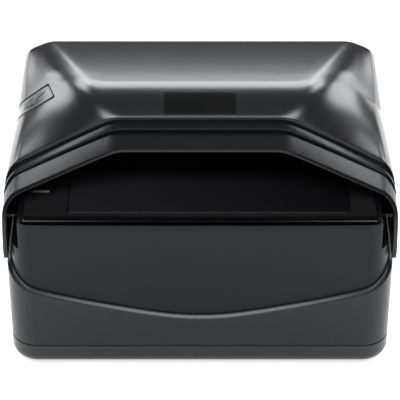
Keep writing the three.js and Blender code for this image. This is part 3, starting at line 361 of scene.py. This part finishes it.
def solid(name, points, faces):
    """A welded mesh from points in millimetres, with its normals turned outwards."""
    mesh = bpy.data.meshes.new(name)
    mesh.from_pydata((np.asarray(points, float) * MM).tolist(), [], faces)
    work = bmesh.new()
    work.from_mesh(mesh)
    bmesh.ops.remove_doubles(work, verts=work.verts, dist=1e-6)
    bmesh.ops.dissolve_degenerate(work, dist=1e-7, edges=work.edges)
    bmesh.ops.recalc_face_normals(work, faces=work.faces)
    if work.calc_volume(signed=True) < 0:
        bmesh.ops.reverse_faces(work, faces=work.faces)
    work.to_mesh(mesh)
    work.free()
    return mesh


def cut(mesh, cutters):
    """The mesh less each cutter, worked out once and kept as plain geometry."""
    obj = bpy.data.objects.new("cut", mesh)
    bpy.context.scene.collection.objects.link(obj)
    helpers = []
    for k, (points, faces) in enumerate(cutters):
        tool = bpy.data.objects.new("cutter", solid("cutter", points, faces))
        bpy.context.scene.collection.objects.link(tool)
        modifier = obj.modifiers.new(f"cut{k}", "BOOLEAN")
        modifier.operation, modifier.solver, modifier.object = "DIFFERENCE", "EXACT", tool
        helpers.append(tool)
    bpy.context.view_layer.update()
    made = bpy.data.meshes.new_from_object(obj.evaluated_get(bpy.context.evaluated_depsgraph_get()))
    for helper in helpers + [obj]:
        bpy.data.objects.remove(helper)
    return made


def piece(name, shapes, look, body, nodes=(), sharp=40.0, cutters=()):
    """A finished piece from one or more closed shapes, less its cutters."""
    meshes = [solid(name, *shape) for shape in shapes]
    if cutters:
        meshes[0] = cut(meshes[0], cutters)
    mesh = bpy.data.meshes.new(name)
    work = bmesh.new()
    for part_mesh in meshes:
        work.from_mesh(part_mesh)
    for face in work.faces:
        face.smooth = True
        face.material_index = 0
    for edge in work.edges:
        if len(edge.link_faces) == 2 and edge.calc_face_angle() > sharp * DEGREE:
            edge.smooth = False
    work.to_mesh(mesh)
    work.free()
    obj = bpy.data.objects.new(name, mesh)
    bpy.context.scene.collection.objects.link(obj)
    mesh.materials.clear()
    mesh.materials.append(LOOKS[look])
    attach(obj, body)
    if nodes:
        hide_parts(*nodes)
    return obj


def rounded_path(half, front, back, radius, steps=14, flats=10):
    """Plan of a rectangle with round corners, anticlockwise from the front left, with outward
    normals: x, y, nx, ny for each point."""
    path = []
    corners = [(half - radius, front + radius, -90), (half - radius, back - radius, 0),
               (-half + radius, back - radius, 90), (-half + radius, front + radius, 180)]
    for k, (cx, cy, begin) in enumerate(corners):
        for i in range(steps + 1):
            a = (begin + 90 * i / steps) * DEGREE
            path.append((cx + radius * math.cos(a), cy + radius * math.sin(a), math.cos(a), math.sin(a)))
        nx, ny, nb = corners[(k + 1) % 4]
        a = (begin + 90) * DEGREE
        end = path[-1]
        first = (nx + radius * math.cos(nb * DEGREE), ny + radius * math.sin(nb * DEGREE))
        for i in range(1, flats):
            t = i / flats
            x, y = end[0] + (first[0] - end[0]) * t, end[1] + (first[1] - end[1]) * t
            path.append((x, y, math.cos(a), math.sin(a)))
    return np.array(path)


def arc(cx, cy, radius, start, end, steps):
    """Points of an arc in a profile, from one angle to another in degrees."""
    angles = np.radians(np.linspace(start, end, steps + 1))
    return [(cx + radius * math.cos(a), cy + radius * math.sin(a)) for a in angles]


def rounded_box(x0, x1, y0, y1, z0, z1, edge=0.4, steps=3):
    """A box with rounded edges: a cube's grid pushed out from an inner box by the edge radius."""
    line = np.concatenate([np.linspace(-1, -0.0, steps + 1), np.linspace(0.0, 1, steps + 1)])
    side = np.concatenate([np.zeros(steps + 1), np.ones(steps + 1)])
    lo = np.array([x0, y0, z0]) + edge
    hi = np.array([x1, y1, z1]) - edge
    points, faces = [], []
    n = len(line)
    for axis in range(3):
        for sign in (-1, 1):
            start = len(points)
            for v in range(n):
                for u in range(n):
                    d = np.zeros(3)
                    d[axis] = sign
                    d[(axis + 1) % 3] = math.tan(line[u] * math.pi / 4)
                    d[(axis + 2) % 3] = math.tan(line[v] * math.pi / 4)
                    d /= np.linalg.norm(d)
                    w = np.zeros(3)
                    w[axis] = (sign + 1) / 2
                    w[(axis + 1) % 3] = side[u]
                    w[(axis + 2) % 3] = side[v]
                    points.append(lo + (hi - lo) * w + d * edge)
            faces += grid_faces(n, n, start=start)
    return points, faces


# Hood
def station(y, top, flat, corner, corner_z, bend, rnd, foot, lean=0.0, sweep=0.0, flare=1.5):
    """One cross section: its place along Y, the height and half width of its flat top, the corner
    where the slope meets the side wall, the radii of the upper bend and of the corner, the foot's
    X, how far the foot leans forward, how far the sides sweep back, and the foot's flare."""
    return np.array([y, top, flat, corner, corner_z, bend, rnd, foot, lean, sweep, flare, 0], float)


def undercut(low, high):
    """Two stations between the foot and the edge of a step, set back under the edge so that
    the step is a dark groove. The last value of a station is how far it is set back."""
    foot, roof = low.copy(), high.copy()
    foot[[0, 11]] += (0.08, 1.3)
    roof[[0, 1, 4, 11]] += (-0.08, -0.7, -0.7, 1.2)
    return [(foot, 0.0), (roof, 0.0)]


def drop(a, b, angle):
    """How far a slope falls between two places across the hood."""
    return (b - a) * math.tan(angle * DEGREE)


def mixed(a, b, along, rise):
    """A station between two others: heights follow rise, and everything else follows along."""
    out = a + (b - a) * along
    out[1] = a[1] + (b[1] - a[1]) * rise
    out[4] = a[4] + (b[4] - a[4]) * rise
    return out


def slope_rise(t):
    """Share of the front slope's height at a share t of its length: it flattens to the crest."""
    return 0.25 * t + 0.75 * (1 - (1 - t) ** 2)


def hood_stations():
    """The hood's cross sections from the lip to the back, each with its fillet length."""
    w = HOOD_HALF
    lip_corner = LIP_TOP - drop(38.5, w, 21.7)
    band_corner = BAND_TOP - drop(39.5, w, 22.6)
    lip = station(-44, LIP_TOP, 38.5, w - 0.6, lip_corner, 22, 13.3, w, RIM_LEAN, 0, 0)
    band = station(BAND_Y, BAND_TOP, 39.5, w - 1, band_corner, 22, 13.3, w, RIM_LEAN * 0.97)
    rib = band.copy()
    rib[[0, 1, 4]] += (0.3, 1.9, 1.9)
    rib_top = SHELL_TOP - 2.4
    rib_corner = rib_top - drop(40.3, w, 24)
    rib_back = station(SHELL_Y - 0.3, rib_top, 40.3, w - 1.6, rib_corner, 22, 13.6, w, RIM_LEAN * 0.94)
    shell = rib_back.copy()
    shell[[0, 1, 4]] += (0.3, 2.4, 2.4)
    crest_corner = CREST_TOP - drop(62, w, 38)
    crest = station(CREST_Y, CREST_TOP, 62, w - 5.2, crest_corner, 30, 17, w - 0.3, 0, 10)
    rear = station(23, 129.5, 72, w - 8.2, 124, 14, 9, w - 0.7)
    plateau = []
    for t in (0.2, 0.4, 0.6, 0.8):
        row = mixed(crest, rear, t, t * t)
        wide = mixed(crest, rear, t ** 0.7, t ** 1.1)
        row[[2, 4, 5, 6]] = wide[[2, 4, 5, 6]]
        row[9] = 10 * (1 - t) ** 1.3
        plateau.append((row, 3))
    end = station(62, 100, 72, w - 3.8, 92, 14, 12, w - 0.9)
    turn = end.copy()
    turn[[0, 1, 4]] = (65.4, 96.4, 89)
    back = turn.copy()
    back[[0, 1, 4, 3, 7]] = (66.6, 94.2, 87, turn[3] - 1, turn[7] - 1)
    stations = [(lip, 0.6), (band, 0.25)] + undercut(band, rib) + [(rib, 0.45), (rib_back, 0.25)]
    stations += undercut(rib_back, shell) + [(shell, 0.6)]
    for i in range(1, 14):
        t = i / 14
        stations.append((mixed(shell, crest, t, slope_rise(t)), 0))
    stations += [(crest, 1.7)] + plateau + [(rear, 2.0), (mixed(rear, end, 0.5, 0.5), 6)]
    return stations + [(end, 1.5), (turn, 1.0), (back, 0)]


def softened(stations, steps=4):
    """The stations with each corner of the long profile replaced by a short curve."""
    rows = [stations[0][0]]
    for k in range(1, len(stations) - 1):
        here, fillet = stations[k]
        before, after = stations[k - 1][0], stations[k + 1][0]
        if not fillet:
            rows.append(here)
            continue
        a = min(0.45, fillet / max(1e-6, math.hypot(*(before - here)[:2])))
        b = min(0.45, fillet / max(1e-6, math.hypot(*(after - here)[:2])))
        start, end = here + (before - here) * a, here + (after - here) * b
        for i in range(steps + 1):
            t = i / steps
            rows.append((1 - t) ** 2 * start + 2 * t * (1 - t) * here + t * t * end)
    rows.append(stations[-1][0])
    return rows


def bend(before, corner, after, radius, steps):
    """Arc that touches both straight stretches of a corner."""
    u = (before - corner) / np.linalg.norm(before - corner)
    v = (after - corner) / np.linalg.norm(after - corner)
    half = math.acos(max(-1.0, min(1.0, float(u @ v)))) / 2
    room = 0.95 * min(np.linalg.norm(before - corner), np.linalg.norm(after - corner))
    reach = min(radius / math.tan(half), room)
    r = reach * math.tan(half)
    centre = corner + (u + v) / np.linalg.norm(u + v) * (r / math.sin(half))
    p, q = corner + u * reach - centre, corner + v * reach - centre
    sweep = math.atan2(p[0] * q[1] - p[1] * q[0], float(p @ q))
    points = []
    for i in range(steps + 1):
        c, s = math.cos(sweep * i / steps), math.sin(sweep * i / steps)
        points.append(centre + np.array([p[0] * c - p[1] * s, p[0] * s + p[1] * c]))
    return points


def meet(a, b, c, d):
    """Where the line through a and b meets the line through c and d."""
    r, s = b - a, d - c
    t = ((c[0] - a[0]) * s[1] - (c[1] - a[1]) * s[0]) / (r[0] * s[1] - r[1] * s[0])
    return a + r * t


def smoothstep(x, low, high):
    t = np.clip((x - low) / (high - low), 0, 1)
    return t * t * (3 - 2 * t)


def half_section(s, inset, bottom=HOOD_BOTTOM):
    """Right half of a section in X and Z, from the foot of the wall to the middle of the top,
    drawn inset from the outside by the wall's thickness."""
    top, flat, corner, corner_z, bend_r, round_r, foot = s[1:8]
    flare = s[10]
    knee_z = HOOD_BOTTOM + 12.5
    f, c = np.array([foot, knee_z]), np.array([corner, corner_z])
    b, m = np.array([flat, top]), np.array([0.0, top])

    def shift(p, q):
        d = (q - p) / np.linalg.norm(q - p)
        n = np.array([-d[1], d[0]]) * inset
        return p + n, q + n

    w0, w1 = shift(f, c)
    s0, s1 = shift(c, b)
    t0, t1 = shift(b, m)
    ci = meet(w0, w1, s0, s1) if inset else c
    bi = meet(s0, s1, t0, t1) if inset else b
    knee = np.array([foot - inset, knee_z])
    top_point = np.array([0.0, bi[1]])
    points = []
    for i in range(7):
        t = i / 6
        bulge = (1 - t) ** 2 * max(0.0, 1 - inset / 2)
        points.append(np.array([knee[0] + flare * bulge, HOOD_BOTTOM + (knee_z - HOOD_BOTTOM) * t]))
    start = bend(knee, ci, bi, round_r - inset, 16)
    for i in range(1, 8):
        points.append(knee + (start[0] - knee) * i / 8)
    points += start
    second = bend(ci, bi, top_point, bend_r - inset, 14)
    for i in range(1, 4):
        points.append(start[-1] + (second[0] - start[-1]) * i / 4)
    points += second
    for i in range(1, 11):
        points.append(second[-1] + (top_point - second[-1]) * i / 10)
    out = np.array(points)
    if bottom > HOOD_BOTTOM:
        across = np.interp(bottom, out[:, 1], out[:, 0])
        out[out[:, 1] < bottom] = (across, bottom)
    return out


def placed(s, half, y, set_back=0.0):
    """A half section in space with its mirror image: the rim leans back as it rises, the crest
    sweeps back towards the sides, and what is set back fades out down the side walls."""
    up = np.clip((half[:, 1] - 80) / (s[1] - 80), 0, 1)
    ease = 0.5 * up + 0.5 * up * up * (3 - 2 * up)
    outward = smoothstep(np.abs(half[:, 0]), 44, 72)
    ys = y - s[8] * (1 - ease) + s[9] * outward + set_back * smoothstep(half[:, 1], s[4] - 4, s[4] + 6)
    right = np.column_stack([half[:, 0], ys, half[:, 1]])
    left = right[::-1][1:] * (-1, 1, 1)
    return np.vstack([right, left])


def hood_mesh():
    """The shell lofts a C-shaped ring (outer skin, then inner skin) along the stations. The rim
    turns over the wall with a small fillet, and both skins are capped by the rear wall."""
    rows = softened(hood_stations())
    outer, inner = [], []
    first = rows[0]
    fillet = 0.45
    for angle in (60, 30, 0):
        inset = fillet * (1 - math.sin(angle * DEGREE))
        y = first[0] + fillet * (1 - math.cos(angle * DEGREE))
        outer.insert(0, placed(first, half_section(first, inset), y))
        inner.insert(0, placed(first, half_section(first, HOOD_WALL - inset), y))
    for s in rows:
        clamp = HOOD_REAR_BOTTOM if s[0] > HINGE_Y else HOOD_BOTTOM
        shift = HOOD_WALL if -40 < s[0] < CREST_Y else 0.0
        shift *= smoothstep(s[0], -40, -36)
        back = HOOD_WALL * smoothstep(s[0], 20, 26)
        outer.append(placed(s, half_section(s, 0, clamp), s[0], s[11]))
        inner.append(placed(s, half_section(s, HOOD_WALL, clamp), s[0] + shift - back))
    count = len(outer[0])
    points = np.vstack(outer + inner)
    n = len(outer)
    faces = grid_faces(n, count) + grid_faces(n, count, start=n * count)
    for k in range(n - 1):
        for i in (0, count - 1):
            a, b = k * count + i, (k + 1) * count + i
            faces.append((a, b, b + n * count, a + n * count))
    for i in range(count - 1):
        faces.append((i, i + 1, i + 1 + n * count, i + n * count))
    for base in ((n - 1) * count, (2 * n - 1) * count):
        for i in range(count // 2):
            j = count - 1 - i
            quad = (base + i, base + i + 1, base + j - 1, base + j)
            faces.append(tuple(dict.fromkeys(quad)))
    last = (n - 1) * count
    faces.append((last, last + count - 1, last + count - 1 + n * count, last + n * count))
    return points, faces


def block(x0, x1, y0, y1, z0, z1):
    """A plain box, as points and faces."""
    points = [(x, y, z) for z in (z0, z1) for y in (y0, y1) for x in (x0, x1)]
    return points, [(0, 2, 3, 1), (4, 5, 7, 6), (0, 1, 5, 4), (2, 6, 7, 3), (0, 4, 6, 2), (1, 3, 7, 5)]


def moved(shape, matrix):
    """The shape's points put through a matrix in millimetres."""
    points, faces = shape
    return [tuple(matrix @ Vector(p)) for p in points], faces


def turned(profile, sides=40, axis="z", centre=(0, 0, 0)):
    """A profile of (radius, height) turned round an axis; it starts and ends on the axis."""
    rows = []
    for radius, height in profile:
        for k in range(sides):
            a = 2 * math.pi * k / sides
            p = (radius * math.cos(a), radius * math.sin(a), height)
            p = {"z": p, "x": (p[2], p[0], p[1]), "y": (p[1], p[2], p[0])}[axis]
            rows.append(tuple(np.add(p, centre)))
    return rows, grid_faces(len(profile), sides, close_columns=True)


def rod(radius, x0, x1, y, z, edge=0.3):
    """A bar along X with rounded ends."""
    profile = [(0, x0)] + [(radius - edge + b, x0 + edge - a) for a, b in arc(0, 0, edge, 0, 90, 3)]
    profile += [(radius - edge + b, x1 - edge + a) for a, b in arc(0, 0, edge, 90, 0, 3)] + [(0, x1)]
    return turned(profile, 40, "x", (0, y, z))


def button_matrix():
    """The frame of the button: X along it, Z out of the shoulder that it sits in."""
    b = BUTTON
    turn = Matrix.Rotation(-b["tilt"] * DEGREE, 4, "Y") @ Matrix.Rotation(b["lean"] * DEGREE, 4, "X")
    turn = turn @ Matrix.Rotation(b["turn"] * DEGREE, 4, "Z")
    return Matrix.Translation((b["x"], b["y"], b["z"])) @ turn


def slope_point(t):
    """Point of the hood's front slope in the middle, from the shell's edge to the crest."""
    y = SHELL_Y + (CREST_Y - SHELL_Y) * t
    return Vector((0, y, SHELL_TOP + (CREST_TOP - SHELL_TOP) * slope_rise(t)))


def plate_matrix():
    """The frame of the hood's plate, whose bed is a chord of the front slope."""
    a, b = slope_point(0.12), slope_point(0.62)
    return Matrix.Translation((a + b) / 2) @ Matrix.Rotation(math.atan2(b.z - a.z, b.y - a.y), 4, "X")


def rounded_prism(length, width, corner, z0, z1):
    """An upright prism on a rectangle with round corners."""
    path = rounded_path(length / 2, -width / 2, width / 2, corner, 5, 2)
    ring = [(x, y) for x, y, _, _ in path]
    n = len(ring)
    points = [(x, y, z0) for x, y in ring] + [(x, y, z1) for x, y in ring]
    faces = grid_faces(2, n, close_columns=True)
    return points, faces + [tuple(range(n)), tuple(range(n, 2 * n))]


BUTTON_PLACE = button_matrix()
PLATE_PLACE = plate_matrix()


def hood_cutters():
    """The button's well, the plate's bed, and the notches that clear the hinge brackets."""
    gap = BUTTON["gap"]
    well, walls = rounded_prism(BUTTON["length"] + 2 * gap, BUTTON["width"] + 2 * gap, 0.9, -13, 14)
    well = [(x - BUTTON["skew"] * y, y, z) for x, y, z in well], walls
    bed = rounded_prism(33.1, 11.1, 0.7, -1.1, 6)
    made = [moved(well, BUTTON_PLACE), moved(bed, PLATE_PLACE)]
    for side in (-1, 1):
        x = side * HINGE_X
        made.append(block(x - EAR - 0.3, x + EAR + 0.3, HINGE_Y + 1, 70, 60, HINGE_Z - 1.2))
        for a, b in ((-EAR - 0.3, -6.0), (6.6, EAR + 0.3)):
            low, high = sorted((x + side * a, x + side * b))
            made.append(block(low, high, HINGE_Y - 5, 70, 60, HINGE_Z + 4.4))
    return made


def hood_inside():
    """Knuckles with their webs, the closing tabs, and the posts of the button's board."""
    made = []
    for side in (-1, 1):
        low, high = sorted((side * (HINGE_X - 6), side * (HINGE_X + 6.6)))
        made.append(rod(3.2, low, high, HINGE_Y, HINGE_Z))
        made.append(rounded_box(low, high, HINGE_Y, 65, HINGE_Z - 1.2, HINGE_Z + 3.2, 0.3, 2))
        low, high = sorted((side * 84.8, side * 90.2))
        made.append(rounded_box(low, high, -42, -34, 73, 75, 0.3, 2))
    for x in (-8.5, 8.5):
        for y in (-7.15, 7.15):
            post = turned([(0, -11), (1.5, -11), (1.5, -3.6), (0, -3.6)], 20, "z", (x, y, 0))
            made.append(moved(post, BUTTON_PLACE))
    return made


hood_shape = hood_mesh()
hood_tree = BVHTree.FromPolygons([Vector(p) for p in hood_shape[0]], hood_shape[1])
piece("hood_skin", [hood_shape] + hood_inside(), "hood_charcoal", "hood", ["hood_shell"], 50,
      hood_cutters())


def button_shape():
    """The cap's top is the hood's own surface seen along the button's axis, less a fillet that
    grows towards its edge; a skirt goes down from it, and a stem stands under it."""
    into = BUTTON_PLACE.to_3x3() @ Vector((0, 0, -1))
    rings = [0, 0.06, 0.2, 0.42, 0.7, 1.2, 2.0, 3.0, 3.8, 4.39]
    fillet = 0.6
    half_length, half_width = BUTTON["length"] / 2, BUTTON["width"] / 2
    points, n = [], 0
    for inset in rings:
        corner = max(0.01, 1.0 - inset)
        path = rounded_path(half_length - inset, inset - half_width, half_width - inset, corner, 5, 8)
        n = len(path)
        edge = max(0.0, fillet - inset)
        sink = fillet - math.sqrt(fillet ** 2 - edge ** 2)
        for x, y, _, _ in path:
            start = BUTTON_PLACE @ Vector((x - BUTTON["skew"] * y, y, 20))
            hit = hood_tree.ray_cast(start, into)
            points.append(start + into * (hit[3] - 0.1 + sink))
    skirt = [points[i] + into * 2.6 for i in range(n)]
    faces = grid_faces(len(rings), n, close_columns=True)
    last = (len(rings) - 1) * n
    faces.append(tuple(range(last, last + n)))
    start = len(points)
    points += skirt
    faces += [(i, (i + 1) % n, start + (i + 1) % n, start + i) for i in range(n)]
    faces.append(tuple(range(start, start + n)))
    return [tuple(p) for p in points], faces


# Five plain bars sunk into the cap, each from X to X and from Y to Y in the button's frame
MARKS = [
    (2.4, 7.2, 0.15, 0.75),
    (-5.0, 1.4, 1.5, 2.1),
    (-4.2, 1.0, 0.3, 0.85),
    (-5.2, 0.4, -0.95, -0.4),
    (-4.4, 1.2, -2.2, -1.6),
]
mark_cutters = [moved(block(*mark, -0.95, 6), BUTTON_PLACE) for mark in MARKS]
stem = moved(turned([(0, -7.0), (1.8, -7.0), (2, -6.8), (2, -3), (0, -3)], 24), BUTTON_PLACE)
piece("button_top", [button_shape(), stem], "hood_charcoal", "button", ["button_cap"], 40, mark_cutters)
marks = [moved(block(*mark, -1.3, -0.62), BUTTON_PLACE) for mark in MARKS]
piece("button_marks", marks, "inner_black", "button")
plate = moved(rounded_box(-16.25, 16.25, -5.25, 5.25, -0.8, 0.0, 0.25, 3), PLATE_PLACE)
piece("name_field", [plate], "plate_black", "hood", ["hood_plate"])


# Housings
def wave(x, y):
    """Height of the step between the housings: low in the middle of the front, swept up round
    the corners with a slight swell on the way, and level along the sides and the back."""
    across = min(abs(x) / STEP_REACH, 1.3)
    middle = (across - 0.5) / 0.45
    swell = STEP_SWELL * max(0.0, 1 - middle * middle) ** 2
    front = STEP_LOW + STEP_RISE * across * across * (1.35 - 0.35 * across) + swell
    raw = front + 0.5 * max(0.0, y + HALF_DEPTH)
    if raw <= 50:
        return raw
    blend = 1.2
    return STEP_HIGH - blend * math.log1p(math.exp(min(40.0, (STEP_HIGH - raw) / blend)))


def ring_sweep(path, profiles):
    """A closed profile carried round a closed path. profiles gives, for each path point, a list
    of (inset, height); the inset is measured inwards along the path's normal."""
    points = []
    for (x, y, nx, ny), profile in zip(path, profiles):
        points += [(x - nx * d, y - ny * d, z) for d, z in profile]
    return points, grid_faces(len(path), len(profiles[0]), True, True)


def lower_shape():
    """The lower housing's wall from the parting line up to the ledge, which slopes inwards."""
    path = rounded_path(HALF_WIDTH, -HALF_DEPTH, HALF_DEPTH, CORNER, 20, 60)
    profiles = []
    for x, y, _, _ in path:
        top = wave(x, y)
        profile = [(WALL, PARTING + 0.35), (0.35, PARTING + 0.35), (0.1, PARTING + 0.45)]
        profile += [(0.0, PARTING + 0.7), (0.0, PARTING + 1.0)]
        profile += [(0.0, PARTING + 0.7 + (top - 16.0) * t) for t in (0.25, 0.5, 0.75)]
        profile += [(0.0, top - 0.8), (0.0, top - 0.55), (0.05, top - 0.36), (0.16, top - 0.22)]
        profile += [(1.0, top + 0.48), (1.9, top + 1.24), (2.02, top + 1.28)]
        profile += [(WALL, top + 1.2), (WALL, top - 2.4)]
        profiles.append(profile)
    return ring_sweep(path, profiles)


def socket_cutters():
    """The mouths of the data socket and of the power jack in the rear wall."""
    return [block(17.7, 30.3, 55, 75, 15.7, 27.2), block(41.2, 50.8, 55, 75, 15.7, 27.2)]


piece("housing_skirt", [lower_shape()], "skirt_charcoal", "base", ["lower_housing"], 45, socket_cutters())


def tray_shape():
    """The pan below the parting line: a rounded dish with a flat floor, chamfered at its rim."""
    path = rounded_path(HALF_WIDTH, -HALF_DEPTH, HALF_DEPTH, CORNER, 20, 12)
    underside, floor_top, inner_radius, outer_radius = 2.0, 4.2, 3, 6
    profile = [(11.5, floor_top), (6, floor_top)]
    profile += [(WALL + inner_radius - a, floor_top + inner_radius - b)
                for a, b in arc(0, 0, inner_radius, 90, 0, 5)]
    profile += [(WALL, PARTING - 0.2), (WALL, PARTING), (0.5, PARTING), (0.42, PARTING - 0.06)]
    profile += [(0.0, PARTING - 0.55), (0.0, PARTING - 0.8)]
    profile += [(outer_radius - a, underside + outer_radius - b)
                for a, b in arc(0, 0, outer_radius, 0, 90, 20)]
    profile += [(11.5, underside)]
    n, m = len(path), len(profile)
    points = [(x - nx * d, y - ny * d, z) for x, y, nx, ny in path for d, z in profile]
    faces = grid_faces(n, m, True, False)
    return points, faces + [tuple(k * m for k in range(n)), tuple(k * m + m - 1 for k in range(n))]


def tray_cutters():
    """The seats of the four feet and of the four case screws' heads."""
    made = []
    for sx in (-1, 1):
        for sy in (-1, 1):
            foot = [(0, 1), (6.8, 1), (6.8, 2.7), (0, 2.7)]
            made.append(turned(foot, 40, "z", (sx * FOOT_X, sy * FOOT_Y, 0)))
            screw = [(0, 1), (2.9, 1), (2.9, 4.6), (0, 4.6)]
            made.append(turned(screw, 32, "z", (sx * CASE_SCREW_X, sy * CASE_SCREW_Y, 0)))
    return made


piece("pan", [tray_shape()], "pan_charcoal", "base", ["bottom_tray"], 45, tray_cutters())


def upper_shape():
    """The upper housing's wall as one closed profile round the plan. Above the recess floor the
    plan is cut off at RECESS_X, up to just behind the hinge, and the top drops at the rear deck.
    A column's points are (inset, height, greatest distance from the middle)."""
    end = HINGE_Y + 0.9
    raw = rounded_path(PANEL_WIDTH, -PANEL_DEPTH, PANEL_DEPTH, CORNER - LEDGE, 20, 24)
    path = []

    def marked(x, y):
        return (y < end and abs(x) > RECESS_X, y > REAR_DECK_Y)

    for k, p in enumerate(raw):
        q = raw[(k + 1) % len(raw)]
        path.append((*p, *marked(p[0], p[1])))
        stops = []
        for value, index in ((RECESS_X, 0), (-RECESS_X, 0), (end, 1), (REAR_DECK_Y, 1)):
            if (p[index] - value) * (q[index] - value) < 0:
                stops.append((value - p[index]) / (q[index] - p[index]))
        for t in sorted(stops):
            for beside in (t - 1e-4, t + 1e-4):
                path.append((*(p + (q - p) * t), *marked(*(p[:2] + (q[:2] - p[:2]) * beside))))
    free = 1e3
    edge = 0.25
    points = []
    for x, y, nx, ny, recessed, low in path:
        limit = RECESS_X if recessed else free
        top = REAR_DECK_TOP if low else TOP
        step = 1.0 if recessed else 0.0
        bed = top - 2.6 * smoothstep(-ny, 0.8, 0.98)
        column = [(WALL, 27.4, free), (0.3, 27.4, free), (0, 27.7, free), (0, 28, free), (0, 50, free)]
        column += [(0, 70.3, free), (0, 70.6, free), (0.1 * step, 70.9, free), (0.4 * step, 70.96, free)]
        column += [(0.4 * step, 71.0, limit + 0.02), (0, 71.05, limit), (0, 71.3, limit)]
        column += [(0, 78, limit), (0, top - edge - 0.2, limit)]
        column += [(edge - a, top - edge + b, limit - edge + a) for a, b in arc(0, 0, edge, 0, 90, 5)]
        column += [(0.5, top, limit - 0.5), (0.62, bed, limit - 0.62), (1.9, bed, limit - 1.9)]
        column += [(WALL, bed - 0.2, limit - WALL), (WALL, 69, limit - WALL), (WALL, 68.9, free)]
        for d, z, cap in column:
            points.append((max(-cap, min(cap, x - nx * d)), y - ny * d, z))
    return points, grid_faces(len(path), len(points) // len(path), True, True)


rear_deck = rounded_box(-84, 84, 43.9, 64.3, 81.4, REAR_DECK_TOP, 0.1, 2)
rear_step = rounded_box(-82.5, 82.5, 43.9, REAR_DECK_Y, 80, TOP, 0.4, 3)
piece("housing_body", [upper_shape(), rear_deck, rear_step], "panel_charcoal", "base",
      ["upper_housing"], 45, socket_cutters())


def frame_shape(outer, inner, profile):
    """A flat frame between two rectangles. Each profile point is (0 or 1, grow, height): on the
    outer or the inner rectangle, grown by so much."""
    points = []
    for corner in ((1, 0), (1, 1), (0, 1), (0, 0)):
        for which, grow, z in profile:
            x0, x1, y0, y1 = inner if which else outer
            x = x1 + grow if corner[0] else x0 - grow
            y = y1 + grow if corner[1] else y0 - grow
            points.append((x, y, z))
    return points, grid_faces(4, len(profile), True, True)


WINDOW = (-61.1, 69.4, -54.0, 38.0)
deck_profile = [(0, 0, 83.5), (0, 0, 85.6), (0, -0.12, 85.88), (0, -0.4, TOP), (0, -0.6, TOP)]
deck_profile += [(1, 1.35, TOP), (1, 1.15, TOP), (1, 1.0, 85.93), (1, 0.38, 85.35), (1, 0.3, 85.2)]
deck_profile += [(1, 0.3, 83.5)]
light_slot = block(-78.35, -70.45, -39.4, -37.4, 80, 90)
front_groove = block(-81.4, 81.4, -60.3, GROOVE_REAR, 85.2, 87)
deck_shape = frame_shape((-81.8, 81.8, -61.2, 43.6), WINDOW, deck_profile)
piece("deck_face", [deck_shape], "deck_black", "base", ["deck_plate"], 25, [light_slot, front_groove])
pane = rounded_box(*WINDOW, 83.2, 85.7, 0.25, 2)
piece("window_pane", [pane], "glass_black", "base", ["platen_glass"])
lens = rounded_box(-78.2, -70.6, -39.25, -37.55, 83, 85.9, 0.2, 2)
lens_flange = rounded_box(-79.2, -69.6, -40.25, -36.55, 81.5, 83.45, 0.1, 2)
piece("status_light", [lens, lens_flange], "milky", "base", ["status_lens"])


# Floor, light and camera
def floor():
    """A plain pale floor that shines a little by itself where it is seen or mirrored."""
    s = Shader("floor")
    s.set(Base_Color=(0.8, 0.8, 0.8, 1), Roughness=0.9)
    camera_ray, glossy_ray, transmission_ray = 0, 3, 6
    seen = s.node("LightPath", out=camera_ray) + s.node("LightPath", out=glossy_ray)
    seen += s.node("LightPath", out=transmission_ray)
    s.set(Emission_Color=seen, Emission_Strength=0.72)
    mesh = bpy.data.meshes.new("floor")
    mesh.from_pydata([(-4, -4, 0), (4, -4, 0), (4, 4, 0), (-4, 4, 0)], [], [(0, 1, 2, 3)])
    obj = bpy.data.objects.new("floor", mesh)
    bpy.context.scene.collection.objects.link(obj)
    mesh.materials.append(s.material)


def softbox(name, side, back, rise, width, height, brightness):
    """A rectangular lamp that faces the object. Side and back give its bearing seen from above,
    rise is its angle above the floor, and brightness is its power for each area."""
    distance, aim = 1.75, Vector((0, 0, 0.1))
    data = bpy.data.lights.new(name, "AREA")
    data.shape = "RECTANGLE"
    data.size, data.size_y = width, height
    data.energy = brightness * math.pi * width * height
    obj = bpy.data.objects.new(name, data)
    bpy.context.scene.collection.objects.link(obj)
    flat = distance * math.cos(rise * DEGREE)
    turn = math.atan2(back, side)
    height_above = distance * math.sin(rise * DEGREE)
    obj.location = aim + Vector((flat * math.cos(turn), flat * math.sin(turn), height_above))
    obj.rotation_mode = "QUATERNION"
    obj.rotation_quaternion = (aim - obj.location).to_track_quat("-Z", "Y")


def world(strength):
    """The even light of the room."""
    made = bpy.data.worlds.new("studio")
    made.use_nodes = True
    back = made.node_tree.nodes["Background"]
    back.inputs[0].default_value = (1, 1, 1, 1)
    back.inputs[1].default_value = strength
    bpy.context.scene.world = made


floor()
world(0.2)
softbox("back", 0, 1, 48.5, 1.25, 0.8, 7.4)
softbox("front", 0, -1, 57, 1.9, 0.42, 7.0)
for side in (-1, 1):
    softbox("shoulder", side * 0.73, 0.68, 48, 0.9, 0.46, 8.0)
    softbox("side", side * 0.94, 0.34, 22, 0.6, 0.48, 6.6)
    softbox("low", side * 0.83, 0.56, 3.5, 0.74, 0.38, 3.2)

# A long lens in front of the object that looks down at 38 degrees
camera_data = bpy.data.cameras.new("camera")
camera_data.sensor_width = 36
camera_data.lens = 183.9
camera_data.shift_y = -0.0278
camera_data.clip_end = 20
camera = bpy.data.objects.new("camera", camera_data)
camera.location = (0, -0.7915, 0.6757)
camera.rotation_euler = (52 * DEGREE, 0, 0)
bpy.context.scene.collection.objects.link(camera)
bpy.context.scene.camera = camera
bpy.context.scene.view_settings.view_transform = "Standard"
